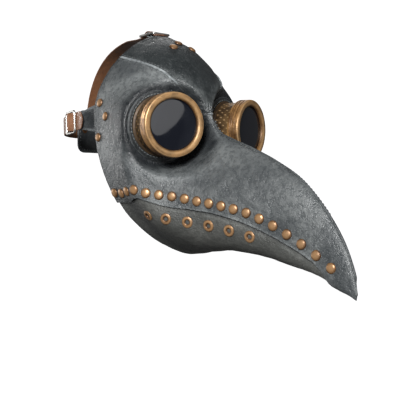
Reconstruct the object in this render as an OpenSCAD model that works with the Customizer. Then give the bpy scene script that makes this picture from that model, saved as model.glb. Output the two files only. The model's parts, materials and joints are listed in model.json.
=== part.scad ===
// Beaked leather mask with screw-on goggles, a riveted jaw and a three-strap head harness.
// The origin is the centre of the wearer's head at eye level. +Z is up, the beak points
// along -Y and the wearer's right hand is on the -X side. All sizes are in millimetres.

/* [Shell] */
// Width of the leather at the eye sockets
mask_width = 168; // [164:1:202]
// Length from the temple edge to the tip of the beak
mask_length = 317; // [264:1:381]
// Height from the crown edge to the tip of the beak
mask_height = 288; // [240:1:346]
// Thickness of the leather
leather = 2.5; // [2:0.1:3.2]
// Width of the seam welts
welt_width = 4; // [3:0.5:6]
// How far the seam welts stand proud
welt_height = 1.5; // [1:0.1:2.5]

/* [Goggles] */
// Outer radius of the eye barrel
barrel_radius = 31.5; // [26:0.5:37.5]
// Wall of the eye barrel
barrel_wall = 3; // [2:0.5:4]
// Length of the barrel in front of the leather
barrel_length = 31; // [25:1:38]
// Outer radius of the padded ring round the barrel's foot
pad_radius = 39; // [36:0.5:47]
// Thickness of the padded ring
pad_thickness = 3; // [2:0.5:5]
// Length of the screw-on bezel
bezel_length = 14; // [12:0.5:18]
// Radial wall of the bezel
bezel_wall = 3.2; // [2.5:0.1:4]
// Thickness of the lens
lens_thickness = 2.5; // [2:0.5:4]
// Outward turn of each eye barrel, in degrees
eye_splay = 16; // [10:1:20]
// Downward tilt of each eye barrel, in degrees
eye_tilt = 2; // [0:1:5]

/* [Rivets and eyelets] */
// Rivets along each side of the jaw seam
rivet_count = 19; // [12:1:19]
// Diameter of a rivet's domed head
rivet_head = 11; // [8:0.5:12.5]
// Spacing of the rivets
rivet_pitch = 14.9; // [12:0.1:15]
// Eyelets on each side of the jaw
eyelet_count = 6; // [3:1:7]
// Outer diameter of an eyelet's flange
eyelet_flange = 12.5; // [10:0.5:15]
// Diameter of the hole through an eyelet
eyelet_hole = 4.5; // [3:0.5:6]
// Spacing of the eyelets
eyelet_pitch = 25; // [20:0.5:27]

/* [Harness] */
// Width of the head straps
strap_width = 21.5; // [18:0.5:26]
// Thickness of the head straps
strap_thickness = 1.6; // [1.3:0.1:2]
// Width of a strap tab where it is riveted under the leather
tab_width = 30; // [26:1:36]
// Length of a slide buckle
buckle_length = 29; // [27:1:35]
// Thickness of the rods of a slide buckle
buckle_rod = 2.6; // [2.2:0.1:3]
// Side of the leather patch behind the head
back_pad_size = 54; // [46:1:66]

/* [Hidden] */
$fn = 64;
RIGHT = -1;
LEFT = 1;

// The shell is drawn through fourteen cross-sections, from the rear edge (0) to the tip (13).
// Each section runs from the top ridge, over the widest point of the side, to the keel.
// Columns: ridge y, ridge z, half width, side y, side z, keel y, keel z, forward sweep above
// the side, sharpness of the ridge, fullness below the side, forward sweep below the side.
SECTIONS = [
    [ -34,  110,  78,    2,     10,  -83, -146, 1.7,    1, 0.78, 1.8],
    [ -66,   94,  80,  -22,      6,  -94, -145, 1.7,    1, 0.78, 1.8],
    [ -90,   72,  83,  -44,     -2, -103, -144, 1.7,    1, 0.78, 1.8],
    [-107,   43,  84,  -61,    -18, -113, -142, 1.6,  1.1, 0.80, 1.6],
    [-114,   13,  76,  -78,    -48, -125, -141, 1.5,  1.5, 0.85, 1.5],
    [-126,   -7,  63, -100,    -72, -138, -140, 1.3,  1.9, 0.90, 1.3],
    [-148,  -17,  50, -126,    -83, -155, -140, 1.2,  1.7, 0.90, 1.2],
    [-180,  -29,  40, -157,    -92, -180, -142, 1.1,  1.4, 0.90, 1.1],
    [-212,  -43,  30, -190,   -103, -207, -146, 1.0,  1.2, 0.90, 1.0],
    [-245,  -62,  21, -222,   -116, -235, -152, 1.0,  1.1, 0.90, 1.0],
    [-275,  -91,  13, -254,   -132, -263, -159, 1.0, 1.05, 0.90, 1.0],
    [-297, -121,   8, -282,   -148, -288, -168, 1.0,    1, 0.90, 1.0],
    [-310, -150, 4.5, -302,   -162, -305, -174, 1.0,    1, 1.00, 1.0],
    [-315, -171, 1.5, -313, -174.5, -313, -178, 1.0,    1, 1.00, 1.0]
];
TIP = len(SECTIONS) - 1;
// The size at which the sections above are drawn
DRAWN = [168, 317, 288];
STRETCH = [mask_width / DRAWN.x, mask_length / DRAWN.y, mask_height / DRAWN.z];

// Lines on the shell: [section, degrees round the section from the ridge].
JAW_SEAM = [[0, 122], [1, 121.5], [2, 120], [3, 115], [4, 108.5], [5, 102], [6, 97], [7, 93.5],
    [8, 92], [9, 93], [10, 95], [10.4, 98], [10.7, 108], [10.8, 130], [10.9, 155], [11, 180]];
RIVET_LINE = [[0, 117], [1.5, 116], [2.7, 112], [3.8, 105], [4.5, 98], [5.1, 92], [6, 87],
    [7, 84], [8, 81], [9, 81.3], [10, 82], [13, 84]];
EYELET_LINE = [[0, 138], [2.7, 128], [4.5, 118.5], [5.4, 114], [6.3, 112.3], [8, 110.5], [13, 110]];
BROW_SEAM = [[0, 44], [0.7, 42], [1.2, 39], [1.7, 34.5], [2.1, 30.5], [2.5, 27], [2.9, 22],
    [3.3, 17], [3.9, 11]];
BRIDGE = 3.9;
FACE_ROWS = steps(0, BRIDGE, 15);
BELOW_BRIDGE = 4.05;
BROW_END = 2.75;
BEAK_ROWS = steps(BELOW_BRIDGE, 10.4, 18);
JAW_END = 11;
JAW_END_ROWS = steps(10.7, JAW_END, 3);
TIP_ROWS = steps(11.25, TIP, 7);
// The rear edge dips forward below the ear: depth in sections, and where round the section
EAR_DIP = 0.32;
EAR_DIP_AT = 107;
EAR_DIP_SPREAD = 22;

// Gap left between two pieces of leather that lie on each other
lay_gap = 0.4;
// How deep a sewn welt beds into the leather under it
welt_bed = 0.3;
// Angles that the jaw panel reaches above the rivet line, inside the face panels
jaw_lap = 5;

// Eye barrel: its place on the face, and the ring of leather shaped to seat it
EYE = [48.3 * STRETCH.x, -82 * STRETCH.y, -0.5 * STRETCH.z];
seat_flat = pad_radius + 1.5;
seat_blend = 16;
seat_reach = 60;
proud_reach = 66;
seat_gap = 0.05;
screw_clearance = 0.3;
foot_flange = 2.2;
foot_flange_height = 1.6;
clamp_ring_height = 3;
barrel_tail = 7;
bore_radius = barrel_radius - barrel_wall;
gasket_height = 1.5;
lens_radius = barrel_radius - 0.4;
bezel_radius = barrel_radius + screw_clearance + bezel_wall;
bezel_opening = bore_radius - 1;
bezel_lip_from = barrel_length + gasket_height + lens_thickness + 0.3;
bezel_front = bezel_lip_from + 3.9;
bezel_back = bezel_front - bezel_length;

rivet_dome = 2.6;
rivet_shank = 1.5;
rivet_washer = 3.4;
rivet_washer_height = 0.8;
rivet_start = 7;
rivet_crowding = 0.42;
rivet_crowding_from = 11;
eyelet_start = 39;
eyelet_tube = 0.9;
eyelet_height = 1.4;

// Harness
tab_thickness = 1.8;
tab_level = 12;
tab_drop = 3;
tab_sag = 2.3;
tab_reach = 30;
side_plane = 78.4 * STRETCH.x;
bar_centre = 48.7;
buckle_turn = 14;
tip_reach = 18;
loop_clearance = 0.15;
loop_wall = 1.4;
weave_gap = 0.25;
strap_split = 1;
head_back = 97 * STRETCH.y;
head_middle = 10;
strap_end_x = 9;
crown_bar = [-15.5, 113];
crown_turn = -2;
crown_tip_reach = 5;
crown_tab_width = 34;
crown_sag = 2.7;
back_pad_thickness = 2.5;
crown_strap_to = 80.8;
back_line = head_middle + head_back;
pad_level = 5;
pad_face = back_line - strap_thickness / 2 - 2.8;
BACK_RIVETS = [[-17, 6], [17, 6], [0, 23.5]];

LEATHER = "#3a3d3e";
LEATHER_DARK = "#26292b";
BRONZE = "#8f6238";
BRONZE_DARK = "#5c4226";
COPPER = "#b07c4a";
SMOKE = "#101215";
NICKEL = "#b9b9b4";
STRAP_BROWN = "#8a5736";

// ---- The curved shell ----

function section_row(i) =
    i < 0 ? 2 * SECTIONS[0] - SECTIONS[1]
    : i > TIP ? 2 * SECTIONS[TIP] - SECTIONS[TIP - 1]
    : SECTIONS[i];

// A smooth curve through the sections' columns
function section_at(t) =
    let (i = max(0, min(TIP - 1, floor(t))), f = t - i,
         a = section_row(i - 1), b = section_row(i), c = section_row(i + 1), d = section_row(i + 2))
    (2 * b + (c - a) * f + (2 * a - 5 * b + 4 * c - d) * f * f
        + (3 * b - a - 3 * c + d) * f * f * f) / 2;

function stretched(p) = [p.x * STRETCH.x, p.y * STRETCH.y, p.z * STRETCH.z];
function unit(v) = v / norm(v);

// The ridge or keel point of a section in the y-z plane, moved out by a distance
function rim_point(t, first, out, turn) =
    let (s = section_at(t), along = section_at(t + 0.05) - section_at(t - 0.05),
         dir = unit([along[first] * STRETCH.y, along[first + 1] * STRETCH.z]))
    [s[first] * STRETCH.y, s[first + 1] * STRETCH.z] + out * turn * [-dir.y, dir.x];

function half_width(t) = section_at(t)[2] * STRETCH.x;

// Point of the shell before the eye sockets are pressed in
function drawn_skin(t, angle, out) =
    let (s = section_at(t), c = abs(cos(angle)), upper = cos(angle) > 0,
         side = [s[3] * STRETCH.y, s[4] * STRETCH.z],
         rim = upper ? rim_point(t, 0, out, -1) : rim_point(t, 5, out, 1),
         across = c ^ (upper ? s[7] : s[10]),
         along = c ^ (upper ? 1 + (s[8] - 1) / 4 : s[9]),
         girth = upper ? sign(sin(angle)) * abs(sin(angle)) ^ s[8] : sin(angle))
    [(half_width(t) + out) * girth,
     side.x + (rim.x - side.x) * across,
     side.y + (rim.y - side.y) * along];

function eye_axis(hand) =
    [hand * sin(eye_splay) * cos(eye_tilt), -cos(eye_splay) * cos(eye_tilt), -sin(eye_tilt)];
function eye_centre(hand) = [hand * EYE.x, EYE.y, EYE.z];
function ease(f) = let (g = max(0, min(1, f))) g * g * (3 - 2 * g);

// Point of the shell: the leather round each eye is pressed flat to seat the goggle
function skin(t, angle, out = 0) =
    let (p = drawn_skin(t, angle, out), hand = p.x < 0 ? RIGHT : LEFT, axis = eye_axis(hand),
         from_eye = p - eye_centre(hand), depth = from_eye * axis,
         away = norm(from_eye - depth * axis),
         press = ease((seat_flat + seat_blend - away) / seat_blend)
             * ease((depth < 0 ? seat_reach + depth : proud_reach - depth) / (seat_reach / 2)))
    p - press * (depth - out) * axis;

function skin_normal(t, angle) =
    unit(cross(skin(t + 0.03, angle) - skin(t - 0.03, angle),
               skin(t, angle + 0.4) - skin(t, angle - 0.4)));

function wall(t) = min(leather, 0.42 * half_width(t));
function around(angle) = angle > 180 ? 360 - angle : abs(angle);
function ear_dip(t, angle) =
    EAR_DIP * max(0, 1 - t) * exp(-pow((around(angle) - EAR_DIP_AT) / EAR_DIP_SPREAD, 2));

// A sheet on the shell between two angle lines, from the rows' first section to their last
module sheet(rows, columns, from_line, to_line, outer, inner) {
    n = len(rows);
    m = columns + 1;
    function place(i, j, out) =
        let (a = from_line(rows[i]) + (to_line(rows[i]) - from_line(rows[i])) * j / columns)
        skin(rows[i] + ear_dip(rows[i], a), a, out(rows[i]));
    points = [for (out = [outer, inner]) for (i = [0 : n - 1]) for (j = [0 : columns]) place(i, j, out)];
    function o(i, j) = i * m + j;
    function u(i, j) = n * m + i * m + j;
    function quad(a, b, c, d) = [[a, b, c], [a, c, d]];
    quads = concat(
        [for (i = [0 : n - 2]) for (j = [0 : columns - 1]) each
            concat(quad(o(i, j), o(i, j + 1), o(i + 1, j + 1), o(i + 1, j)),
                   quad(u(i, j), u(i + 1, j), u(i + 1, j + 1), u(i, j + 1)))],
        [for (i = [0 : n - 2]) each
            concat(quad(o(i, 0), o(i + 1, 0), u(i + 1, 0), u(i, 0)),
                   quad(o(i, columns), u(i, columns), u(i + 1, columns), o(i + 1, columns)))],
        [for (j = [0 : columns - 1]) each
            concat(quad(o(0, j), u(0, j), u(0, j + 1), o(0, j + 1)),
                   quad(o(n - 1, j), o(n - 1, j + 1), u(n - 1, j + 1), u(n - 1, j)))]);
    polyhedron(points, quads, convexity = 12);
}

function steps(from, to, count) = [for (i = [0 : count]) from + (to - from) * i / count];

// ---- Lines and places on the shell ----

// Distance along a line on the shell, as [distance, section] pairs
function tape(line, step = 0.1) =
    [for (t = ear_dip(0, lookup(0, line)), s = 0; t < TIP;
          s = s + norm(skin(t + step, lookup(t + step, line)) - skin(t, lookup(t, line))),
          t = t + step) [s, t]];

function rivet_distance(k) =
    (rivet_start + rivet_pitch * k + rivet_crowding * pow(max(0, k - rivet_crowding_from), 2)) * STRETCH.y;
function eyelet_distance(k) = (eyelet_start + eyelet_pitch * k) * STRETCH.y;

// Stands a child on the shell, with +Z pointing outwards
module on_skin(t, angle) {
    z = skin_normal(t, angle);
    x = unit(cross([0, 0, 1], z));
    y = cross(z, x);
    p = skin(t, angle);
    multmatrix([[x.x, y.x, z.x, p.x], [x.y, y.y, z.y, p.y], [x.z, y.z, z.z, p.z], [0, 0, 0, 1]])
        children();
}

// Domed rivet: head, shank through the leather and washer inside
module rivet(head, grip) {
    dome_sphere = (head * head / 4 + rivet_dome * rivet_dome) / (2 * rivet_dome);
    intersection() {
        translate([0, 0, rivet_dome - dome_sphere])
            sphere(r = dome_sphere);
        cylinder(h = rivet_dome + 1, d = head);
    }
    translate([0, 0, -grip - rivet_washer_height])
        cylinder(h = grip + rivet_washer_height, r = rivet_shank);
    translate([0, 0, -grip - rivet_washer_height])
        cylinder(h = rivet_washer_height, r = rivet_washer);
}

// ---- Leather panels ----

// Holes for the barrels, and the flat seats that the goggle pads press into the leather
module eye_holes() {
    for (hand = [RIGHT, LEFT])
        at_eye(hand) {
            translate([0, 0, -30])
                cylinder(h = 45, r = barrel_radius + 0.2);
            translate([0, 0, seat_gap])
                cylinder(h = 45, r = pad_radius + 0.2);
        }
}

module forehead_panel() {
    color(LEATHER_DARK)
        resize([0, 0, 0])
            difference() {
                sheet(FACE_ROWS, 24, function(t) -lookup(t, BROW_SEAM),
                    function(t) lookup(t, BROW_SEAM), function(t) 0, function(t) -wall(t));
                eye_holes();
            }
}

// The cheek and the upper half of the beak on one side
module face_panel(hand) {
    rows = concat(FACE_ROWS, BEAK_ROWS, JAW_END_ROWS, TIP_ROWS);
    upper = function(t) t > BRIDGE ? 0 : lookup(t, BROW_SEAM);
    lower = function(t) lookup(t, JAW_SEAM);
    color(LEATHER)
        resize([0, 0, 0])
            difference() {
                sheet(rows, 14,
                    hand == LEFT ? upper : function(t) -lower(t),
                    hand == LEFT ? lower : function(t) -upper(t),
                    function(t) 0, function(t) -wall(t));
                eye_holes();
            }
}

// Half of the chin and of the underside of the beak, sewn to the other half along the keel
// and tucked under the face panel along the jaw seam
module jaw_panel(hand) {
    near = function(t) lookup(t, RIVET_LINE) - jaw_lap;
    keel = function(t) 180;
    color(LEATHER)
        resize([0, 0, 0])
            difference() {
                sheet(concat(FACE_ROWS, BEAK_ROWS, JAW_END_ROWS), 10,
                    hand == LEFT ? near : function(t) -keel(t),
                    hand == LEFT ? keel : function(t) -near(t),
                    function(t) -wall(t) - lay_gap,
                    function(t) -2 * wall(t) - lay_gap);
                each_eyelet(hand)
                    translate([0, 0, -3 * leather])
                        cylinder(h = 6 * leather, r = eyelet_hole / 2 + eyelet_tube, $fn = 20);
            }
}

// ---- Seam welts ----

module welt(rows, columns, from_line, to_line) {
    color(LEATHER_DARK)
        sheet(rows, columns, from_line, to_line, function(t) welt_height, function(t) -welt_bed);
}

module forehead_welt(hand) {
    half = asin(welt_width / 2 / (80 * STRETCH.x));
    middle = function(t) hand * lookup(t, BROW_SEAM);
    welt(steps(0, BROW_END, 14), 2, function(t) middle(t) - half, function(t) middle(t) + half);
}

module bridge_welt() {
    reach = 9;
    welt(steps(BRIDGE - 0.06, BELOW_BRIDGE + 0.06, 2), 8, function(t) -reach, function(t) reach);
}

module beak_welt() {
    half = function(t) asin(min(0.9, welt_width / 2 / half_width(t)));
    welt(steps(BELOW_BRIDGE + 0.2, TIP - 0.4, 36), 2, function(t) -half(t), half);
}

// ---- Goggles ----

// Places a child at an eye, with +Z along the barrel and the leather's face at z = 0
module at_eye(hand) {
    translate(eye_centre(hand))
        rotate([0, 0, hand * eye_splay])
            rotate([90 + eye_tilt, 0, 0])
                children();
}

module ring(inner, outer, from, to) {
    rotate_extrude()
        translate([inner, from])
            square([outer - inner, to - from]);
}

// Padded ring with a rounded front, between the leather and the barrel's foot
module goggle_pad(hand) {
    round_over = 1.2;
    color(LEATHER_DARK)
        at_eye(hand)
            rotate_extrude()
                polygon([[barrel_radius + 0.05, seat_gap], [pad_radius, seat_gap],
                    [pad_radius, pad_thickness - round_over],
                    [pad_radius - round_over, pad_thickness],
                    [barrel_radius + 0.05, pad_thickness]]);
}

// Tube with a foot flange that holds the pad against the leather
module barrel(hand) {
    flange_from = pad_thickness + 0.05;
    flange_to = flange_from + foot_flange_height;
    color(BRONZE_DARK)
        at_eye(hand)
            rotate_extrude()
                polygon([[bore_radius, -barrel_tail], [barrel_radius, -barrel_tail],
                    [barrel_radius, flange_from], [barrel_radius + foot_flange, flange_from],
                    [barrel_radius + foot_flange, flange_to], [barrel_radius, flange_to + 0.8],
                    [barrel_radius, barrel_length], [bore_radius, barrel_length]]);
}

// Ring nut inside the mask, which clamps the barrel to the leather
module clamp_ring(hand) {
    color(BRONZE_DARK)
        at_eye(hand)
            ring(barrel_radius, pad_radius - 1, -leather - 0.3 - clamp_ring_height, -leather - 0.3);
}

module lens_gasket(hand) {
    color("#1a1a1a")
        at_eye(hand)
            ring(bore_radius, lens_radius, barrel_length + 0.3, barrel_length + gasket_height);
}

// Slightly domed smoked lens with a flat rim
module lens(hand) {
    back = barrel_length + gasket_height;
    face = back + lens_thickness;
    dome = 1.2;
    dome_radius = bezel_opening - 0.4;
    color(SMOKE)
        at_eye(hand)
            rotate_extrude()
                polygon(concat([[0, back], [lens_radius, back], [lens_radius, face]],
                    [for (a = steps(0, 90, 6)) [dome_radius * cos(a), face + dome * sin(a)]]));
}

// Grooved ring that screws over the front of the barrel and holds the lens
module bezel(hand) {
    bore = barrel_radius + screw_clearance;
    groove = 0.7;
    land = bezel_length / 7;
    groove_at = function(k) bezel_back + land * (1.2 + 2 * k);
    color(BRONZE)
        at_eye(hand)
            rotate_extrude()
                polygon(concat(
                    [[bore, bezel_back], [bezel_radius - 0.6, bezel_back], [bezel_radius, bezel_back + 0.6]],
                    [for (k = [0 : 1]) each [
                        [bezel_radius, groove_at(k)], [bezel_radius - groove, groove_at(k) + 0.4],
                        [bezel_radius - groove, groove_at(k) + land - 0.4], [bezel_radius, groove_at(k) + land]]],
                    [[bezel_radius, bezel_front - 1.5], [bezel_radius - 1.2, bezel_front],
                     [bezel_opening + 2.2, bezel_front], [bezel_opening, bezel_front - 1.4],
                     [bezel_opening, bezel_lip_from], [bore, bezel_lip_from]]));
}

// ---- Rivets and eyelets ----

module jaw_rivets(hand) {
    run = tape(RIVET_LINE);
    color(COPPER)
        for (k = [0 : rivet_count - 1]) {
            t = lookup(rivet_distance(k), run);
            on_skin(t, hand * lookup(t, RIVET_LINE))
                rivet(rivet_head, t < JAW_END - 0.1 ? 2 * wall(t) + lay_gap : wall(t));
        }
}

module each_eyelet(hand) {
    run = tape(EYELET_LINE);
    for (k = [0 : eyelet_count - 1]) {
        t = lookup(eyelet_distance(k), run);
        on_skin(t, hand * lookup(t, EYELET_LINE))
            translate([0, 0, -leather - lay_gap])
                children();
    }
}

// Flanged eyelet: a rolled flange outside, a tube through the jaw and a washer inside
module eyelets(hand) {
    hole = eyelet_hole / 2;
    rim = eyelet_flange / 2;
    washer = rim - 1.5;
    color(COPPER)
        each_eyelet(hand)
            rotate_extrude()
                polygon([[hole, -leather - 0.8], [washer, -leather - 0.8], [washer, -leather],
                    [hole + eyelet_tube, -leather], [hole + eyelet_tube, 0], [rim, 0],
                    [rim - 0.5, 0.7], [rim - 1.8, eyelet_height], [hole + 1, eyelet_height],
                    [hole, eyelet_height - 0.6]]);
}

TEMPLE_RIVETS = [[0.45, 78], [0.95, 86.5], [0.5, 94]];

module temple_rivets(hand) {
    color(COPPER)
        for (place = TEMPLE_RIVETS)
            on_skin(place[0], hand * place[1])
                rivet(rivet_head - 1, leather + tab_thickness + tab_sag);
}

CROWN_RIVETS = [[0.75, 0], [1.05, 10], [1.05, -10]];

module crown_rivets() {
    color(COPPER)
        for (place = CROWN_RIVETS)
            on_skin(place[0], place[1])
                rivet(rivet_head - 1, leather + lay_gap + tab_thickness);
}

// ---- Harness ----

// Flat outline of a band that follows a line of points
function side_of(p, i) =
    let (n = len(p), d = unit(p[min(n - 1, i + 1)] - p[max(0, i - 1)])) [-d.y, d.x];
module band(path, thickness) {
    n = len(path);
    polygon(concat([for (i = [0 : n - 1]) path[i] + side_of(path, i) * thickness / 2],
                   [for (i = [n - 1 : -1 : 0]) path[i] - side_of(path, i) * thickness / 2]));
}

// Turns and moves points drawn in a buckle's own plane to a place on the harness
function placed(points, at, turn) =
    [for (p = points) at + [p.x * cos(turn) - p.y * sin(turn), p.x * sin(turn) + p.y * cos(turn)]];

rod = buckle_rod / 2;
half_buckle = buckle_length / 2 - rod;
loop_radius = rod + loop_clearance + loop_wall;
weave_top = loop_radius + weave_gap + strap_thickness / 2;
weave_low = -rod - weave_gap - strap_thickness / 2;
tab_line = weave_low - strap_thickness / 2 - weave_gap - tab_thickness / 2;

// The strap's path through a buckle: under the rear bar, over the middle and under the front bar
function weave(tip) = concat(
    [for (x = [-half_buckle - tip : 3 : -half_buckle - 1]) [x, weave_low]],
    [for (x = steps(-half_buckle, half_buckle, 20))
        [x, weave_low + (weave_top - weave_low) * pow(cos(90 * x / half_buckle), 2)]],
    [[half_buckle + rod + 0.4, weave_low]]);

// Slide buckle: a frame of round rod with a middle bar. Length on X, outwards on Y, width on Z.
module buckle() {
    half_span = strap_width / 2 + 0.4 + rod;
    color(NICKEL) {
        for (x = [-half_buckle, half_buckle])
            translate([x, 0, -half_span])
                cylinder(h = 2 * half_span, r = rod);
        translate([0, 0, -half_span])
            cylinder(h = 2 * half_span, r = rod);
        for (z = [-half_span, half_span]) {
            translate([-half_buckle, 0, z])
                rotate([0, 90, 0])
                    cylinder(h = 2 * half_buckle, r = rod);
            for (x = [-half_buckle, half_buckle])
                translate([x, 0, z])
                    sphere(r = rod);
        }
    }
}

// The loop of a tab round the buckle's middle bar, drawn in the buckle's plane
module tab_loop() {
    difference() {
        union() {
            circle(r = loop_radius);
            polygon([[-half_buckle, tab_line + tab_thickness / 2], [-half_buckle, tab_line - tab_thickness / 2],
                [0, -loop_radius], [0, 0], [-0.9 * loop_radius, -1.2]]);
        }
        circle(r = rod + loop_clearance);
    }
}

// Side harness pieces are drawn in plan, rearwards on X and outwards on Y, then stood up
module side_harness(hand) {
    mirror([hand == LEFT ? 1 : 0, 0, 0])
        translate([0, 0, tab_level])
            rotate([-tab_drop, 0, 0])
                mirror([1, 0, 0])
                    rotate([0, 0, 90])
                        mirror([0, 1, 0])
                            children();
}

SIDE_BAR = [bar_centre, side_plane - 3.2];

module side_tab(hand) {
    inside = side_plane - leather - tab_sag - tab_thickness / 2;
    shank = placed([[-half_buckle - 3, tab_line], [-half_buckle + 0.5, tab_line]], SIDE_BAR, -buckle_turn);
    path = concat([[-tab_reach, inside], [0, inside], [tab_reach / 2, inside + 0.6]], shank);
    length = bar_centre;
    color(LEATHER_DARK)
        side_harness(hand) {
            intersection() {
                linear_extrude(height = tab_width, center = true)
                    band(path, tab_thickness);
                rotate([-90, 0, 0])
                    linear_extrude(height = 2 * side_plane)
                        polygon([[-tab_reach, -tab_width / 2], [4, -tab_width / 2],
                            [length - half_buckle - 6, -strap_width / 2], [length + 20, -strap_width / 2],
                            [length + 20, strap_width / 2], [length - half_buckle - 6, strap_width / 2],
                            [4, tab_width / 2], [-tab_reach, tab_width / 2]]);
            }
            translate(SIDE_BAR)
                rotate([0, 0, -buckle_turn])
                    linear_extrude(height = strap_width - 0.6, center = true)
                        tab_loop();
        }
}

module side_buckle(hand) {
    side_harness(hand)
        translate(SIDE_BAR)
            rotate([0, 0, -buckle_turn])
                buckle();
}

module side_strap_end(hand) {
    color(STRAP_BROWN)
        side_harness(hand)
            linear_extrude(height = strap_width, center = true)
                band(placed(weave(tip_reach), SIDE_BAR, -buckle_turn), strap_thickness);
}

// Path of a side strap round the head, from its buckle to the patch behind the head
function head_line(angle) =
    [head_middle + head_back * pow(sin(angle), 0.9), (side_plane + 0.6) * pow(cos(angle), 0.7)];

module side_strap(hand) {
    start = placed([[half_buckle + rod + 0.4 + strap_split, weave_low], [half_buckle + rod + 5, weave_low - 0.2]],
        SIDE_BAR, -buckle_turn);
    path = concat(start, [for (a = steps(48, 86, 16)) head_line(a)], [[back_line, strap_end_x]]);
    color(STRAP_BROWN)
        side_harness(hand)
            linear_extrude(height = strap_width, center = true)
                band(path, strap_thickness);
}

// Crown harness pieces are drawn in the middle plane, rearwards on X and upwards on Y
module crown_harness() {
    rotate([90, 0, 90])
        children();
}

CROWN_BAR = [crown_bar.x * STRETCH.y, crown_bar.y * STRETCH.z];

module crown_tab() {
    half = function(t) asin(crown_tab_width / 2 / half_width(t));
    top = leather + lay_gap;
    shank_level = top + crown_sag + tab_thickness / 2;
    shank = placed([[-half_buckle - 2, tab_line], [-half_buckle + 0.5, tab_line]], CROWN_BAR, crown_turn);
    path = concat([for (t = [0.6, 0.3, 0.03]) let (p = skin(t, 0, -shank_level)) [p.y, p.z]], shank);
    color(LEATHER_DARK) {
        sheet(steps(0.1, 1.35, 6), 8, function(t) -half(t), half,
            function(t) -top, function(t) -top - tab_thickness);
        crown_harness() {
            linear_extrude(height = strap_width, center = true)
                band(path, tab_thickness);
            translate(CROWN_BAR)
                rotate([0, 0, crown_turn])
                    linear_extrude(height = strap_width - 0.6, center = true)
                        tab_loop();
        }
    }
}

module crown_buckle() {
    crown_harness()
        translate(CROWN_BAR)
            rotate([0, 0, crown_turn])
                buckle();
}

module crown_strap_end() {
    color(STRAP_BROWN)
        crown_harness()
            linear_extrude(height = strap_width, center = true)
                band(placed(weave(crown_tip_reach), CROWN_BAR, crown_turn), strap_thickness);
}

module crown_strap() {
    start = placed([[half_buckle + rod + 0.4 + strap_split, weave_low], [half_buckle + rod + 6, weave_low - 0.3]],
        CROWN_BAR, crown_turn);
    top = 111 * STRETCH.z;
    path = concat(start,
        [for (a = steps(6, crown_strap_to, 26)) [back_line * pow(sin(a), 0.85), top * pow(cos(a), 0.85)]]);
    color(STRAP_BROWN)
        crown_harness()
            linear_extrude(height = strap_width, center = true)
                band(path, strap_thickness);
}

// Leather patch that joins the three straps behind the head
module back_pad() {
    corner = 10;
    core = back_pad_size / 2 - corner;
    color(LEATHER_DARK)
        translate([0, pad_face, pad_level])
            rotate([90, 0, 0])
                linear_extrude(height = back_pad_thickness)
                    union() {
                        square([back_pad_size, 2 * core], center = true);
                        square([2 * core, back_pad_size], center = true);
                        for (x = [-core, core], y = [-core, core])
                            translate([x, y])
                                circle(r = corner);
                    }
}

module back_rivets() {
    face = back_line + strap_thickness / 2;
    color(COPPER)
        for (place = BACK_RIVETS)
            translate([place.x, face, place.y])
                rotate([-90, 0, 0])
                    rivet(rivet_head - 2, face - pad_face + back_pad_thickness);
}

forehead_panel();
face_panel(RIGHT);  // right_face_panel
face_panel(LEFT);  // left_face_panel
jaw_panel(RIGHT);  // right_jaw_panel
jaw_panel(LEFT);  // left_jaw_panel
forehead_welt(RIGHT);  // right_forehead_welt
forehead_welt(LEFT);  // left_forehead_welt
bridge_welt();
beak_welt();
goggle_pad(RIGHT);  // right_goggle_pad
goggle_pad(LEFT);  // left_goggle_pad
barrel(RIGHT);  // right_barrel
barrel(LEFT);  // left_barrel
clamp_ring(RIGHT);  // right_clamp_ring
clamp_ring(LEFT);  // left_clamp_ring
lens_gasket(RIGHT);  // right_lens_gasket
lens_gasket(LEFT);  // left_lens_gasket
lens(RIGHT);  // right_lens
lens(LEFT);  // left_lens
bezel(RIGHT);  // right_bezel
bezel(LEFT);  // left_bezel
jaw_rivets(RIGHT);  // right_jaw_rivets
jaw_rivets(LEFT);  // left_jaw_rivets
eyelets(RIGHT);  // right_eyelets
eyelets(LEFT);  // left_eyelets
temple_rivets(RIGHT);  // right_temple_rivets
temple_rivets(LEFT);  // left_temple_rivets
crown_rivets();
side_tab(RIGHT);  // right_tab
side_tab(LEFT);  // left_tab
crown_tab();
side_buckle(RIGHT);  // right_buckle
side_buckle(LEFT);  // left_buckle
crown_buckle();
side_strap_end(RIGHT);  // right_strap_end
side_strap_end(LEFT);  // left_strap_end
crown_strap_end();
side_strap(RIGHT);  // right_strap
side_strap(LEFT);  // left_strap
crown_strap();
back_pad();
back_rivets();
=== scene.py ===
"""Beaked leather mask with screw-on goggles: the looks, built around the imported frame.

Sizes are in millimetres, as on a maker's drawing, and meshes are in metres. The frame's
joints give the places of the eye axes and of the buckles' bars, and the shell's sections
are those of the CAD model, so that every piece lies where its CAD node lies.
"""

from __future__ import annotations

import json
import logging
import math
from dataclasses import dataclass, field
from enum import Enum
from typing import Callable, Iterable, Sequence

import bpy
import numpy as np
from mathutils import Matrix, Vector, noise

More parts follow.
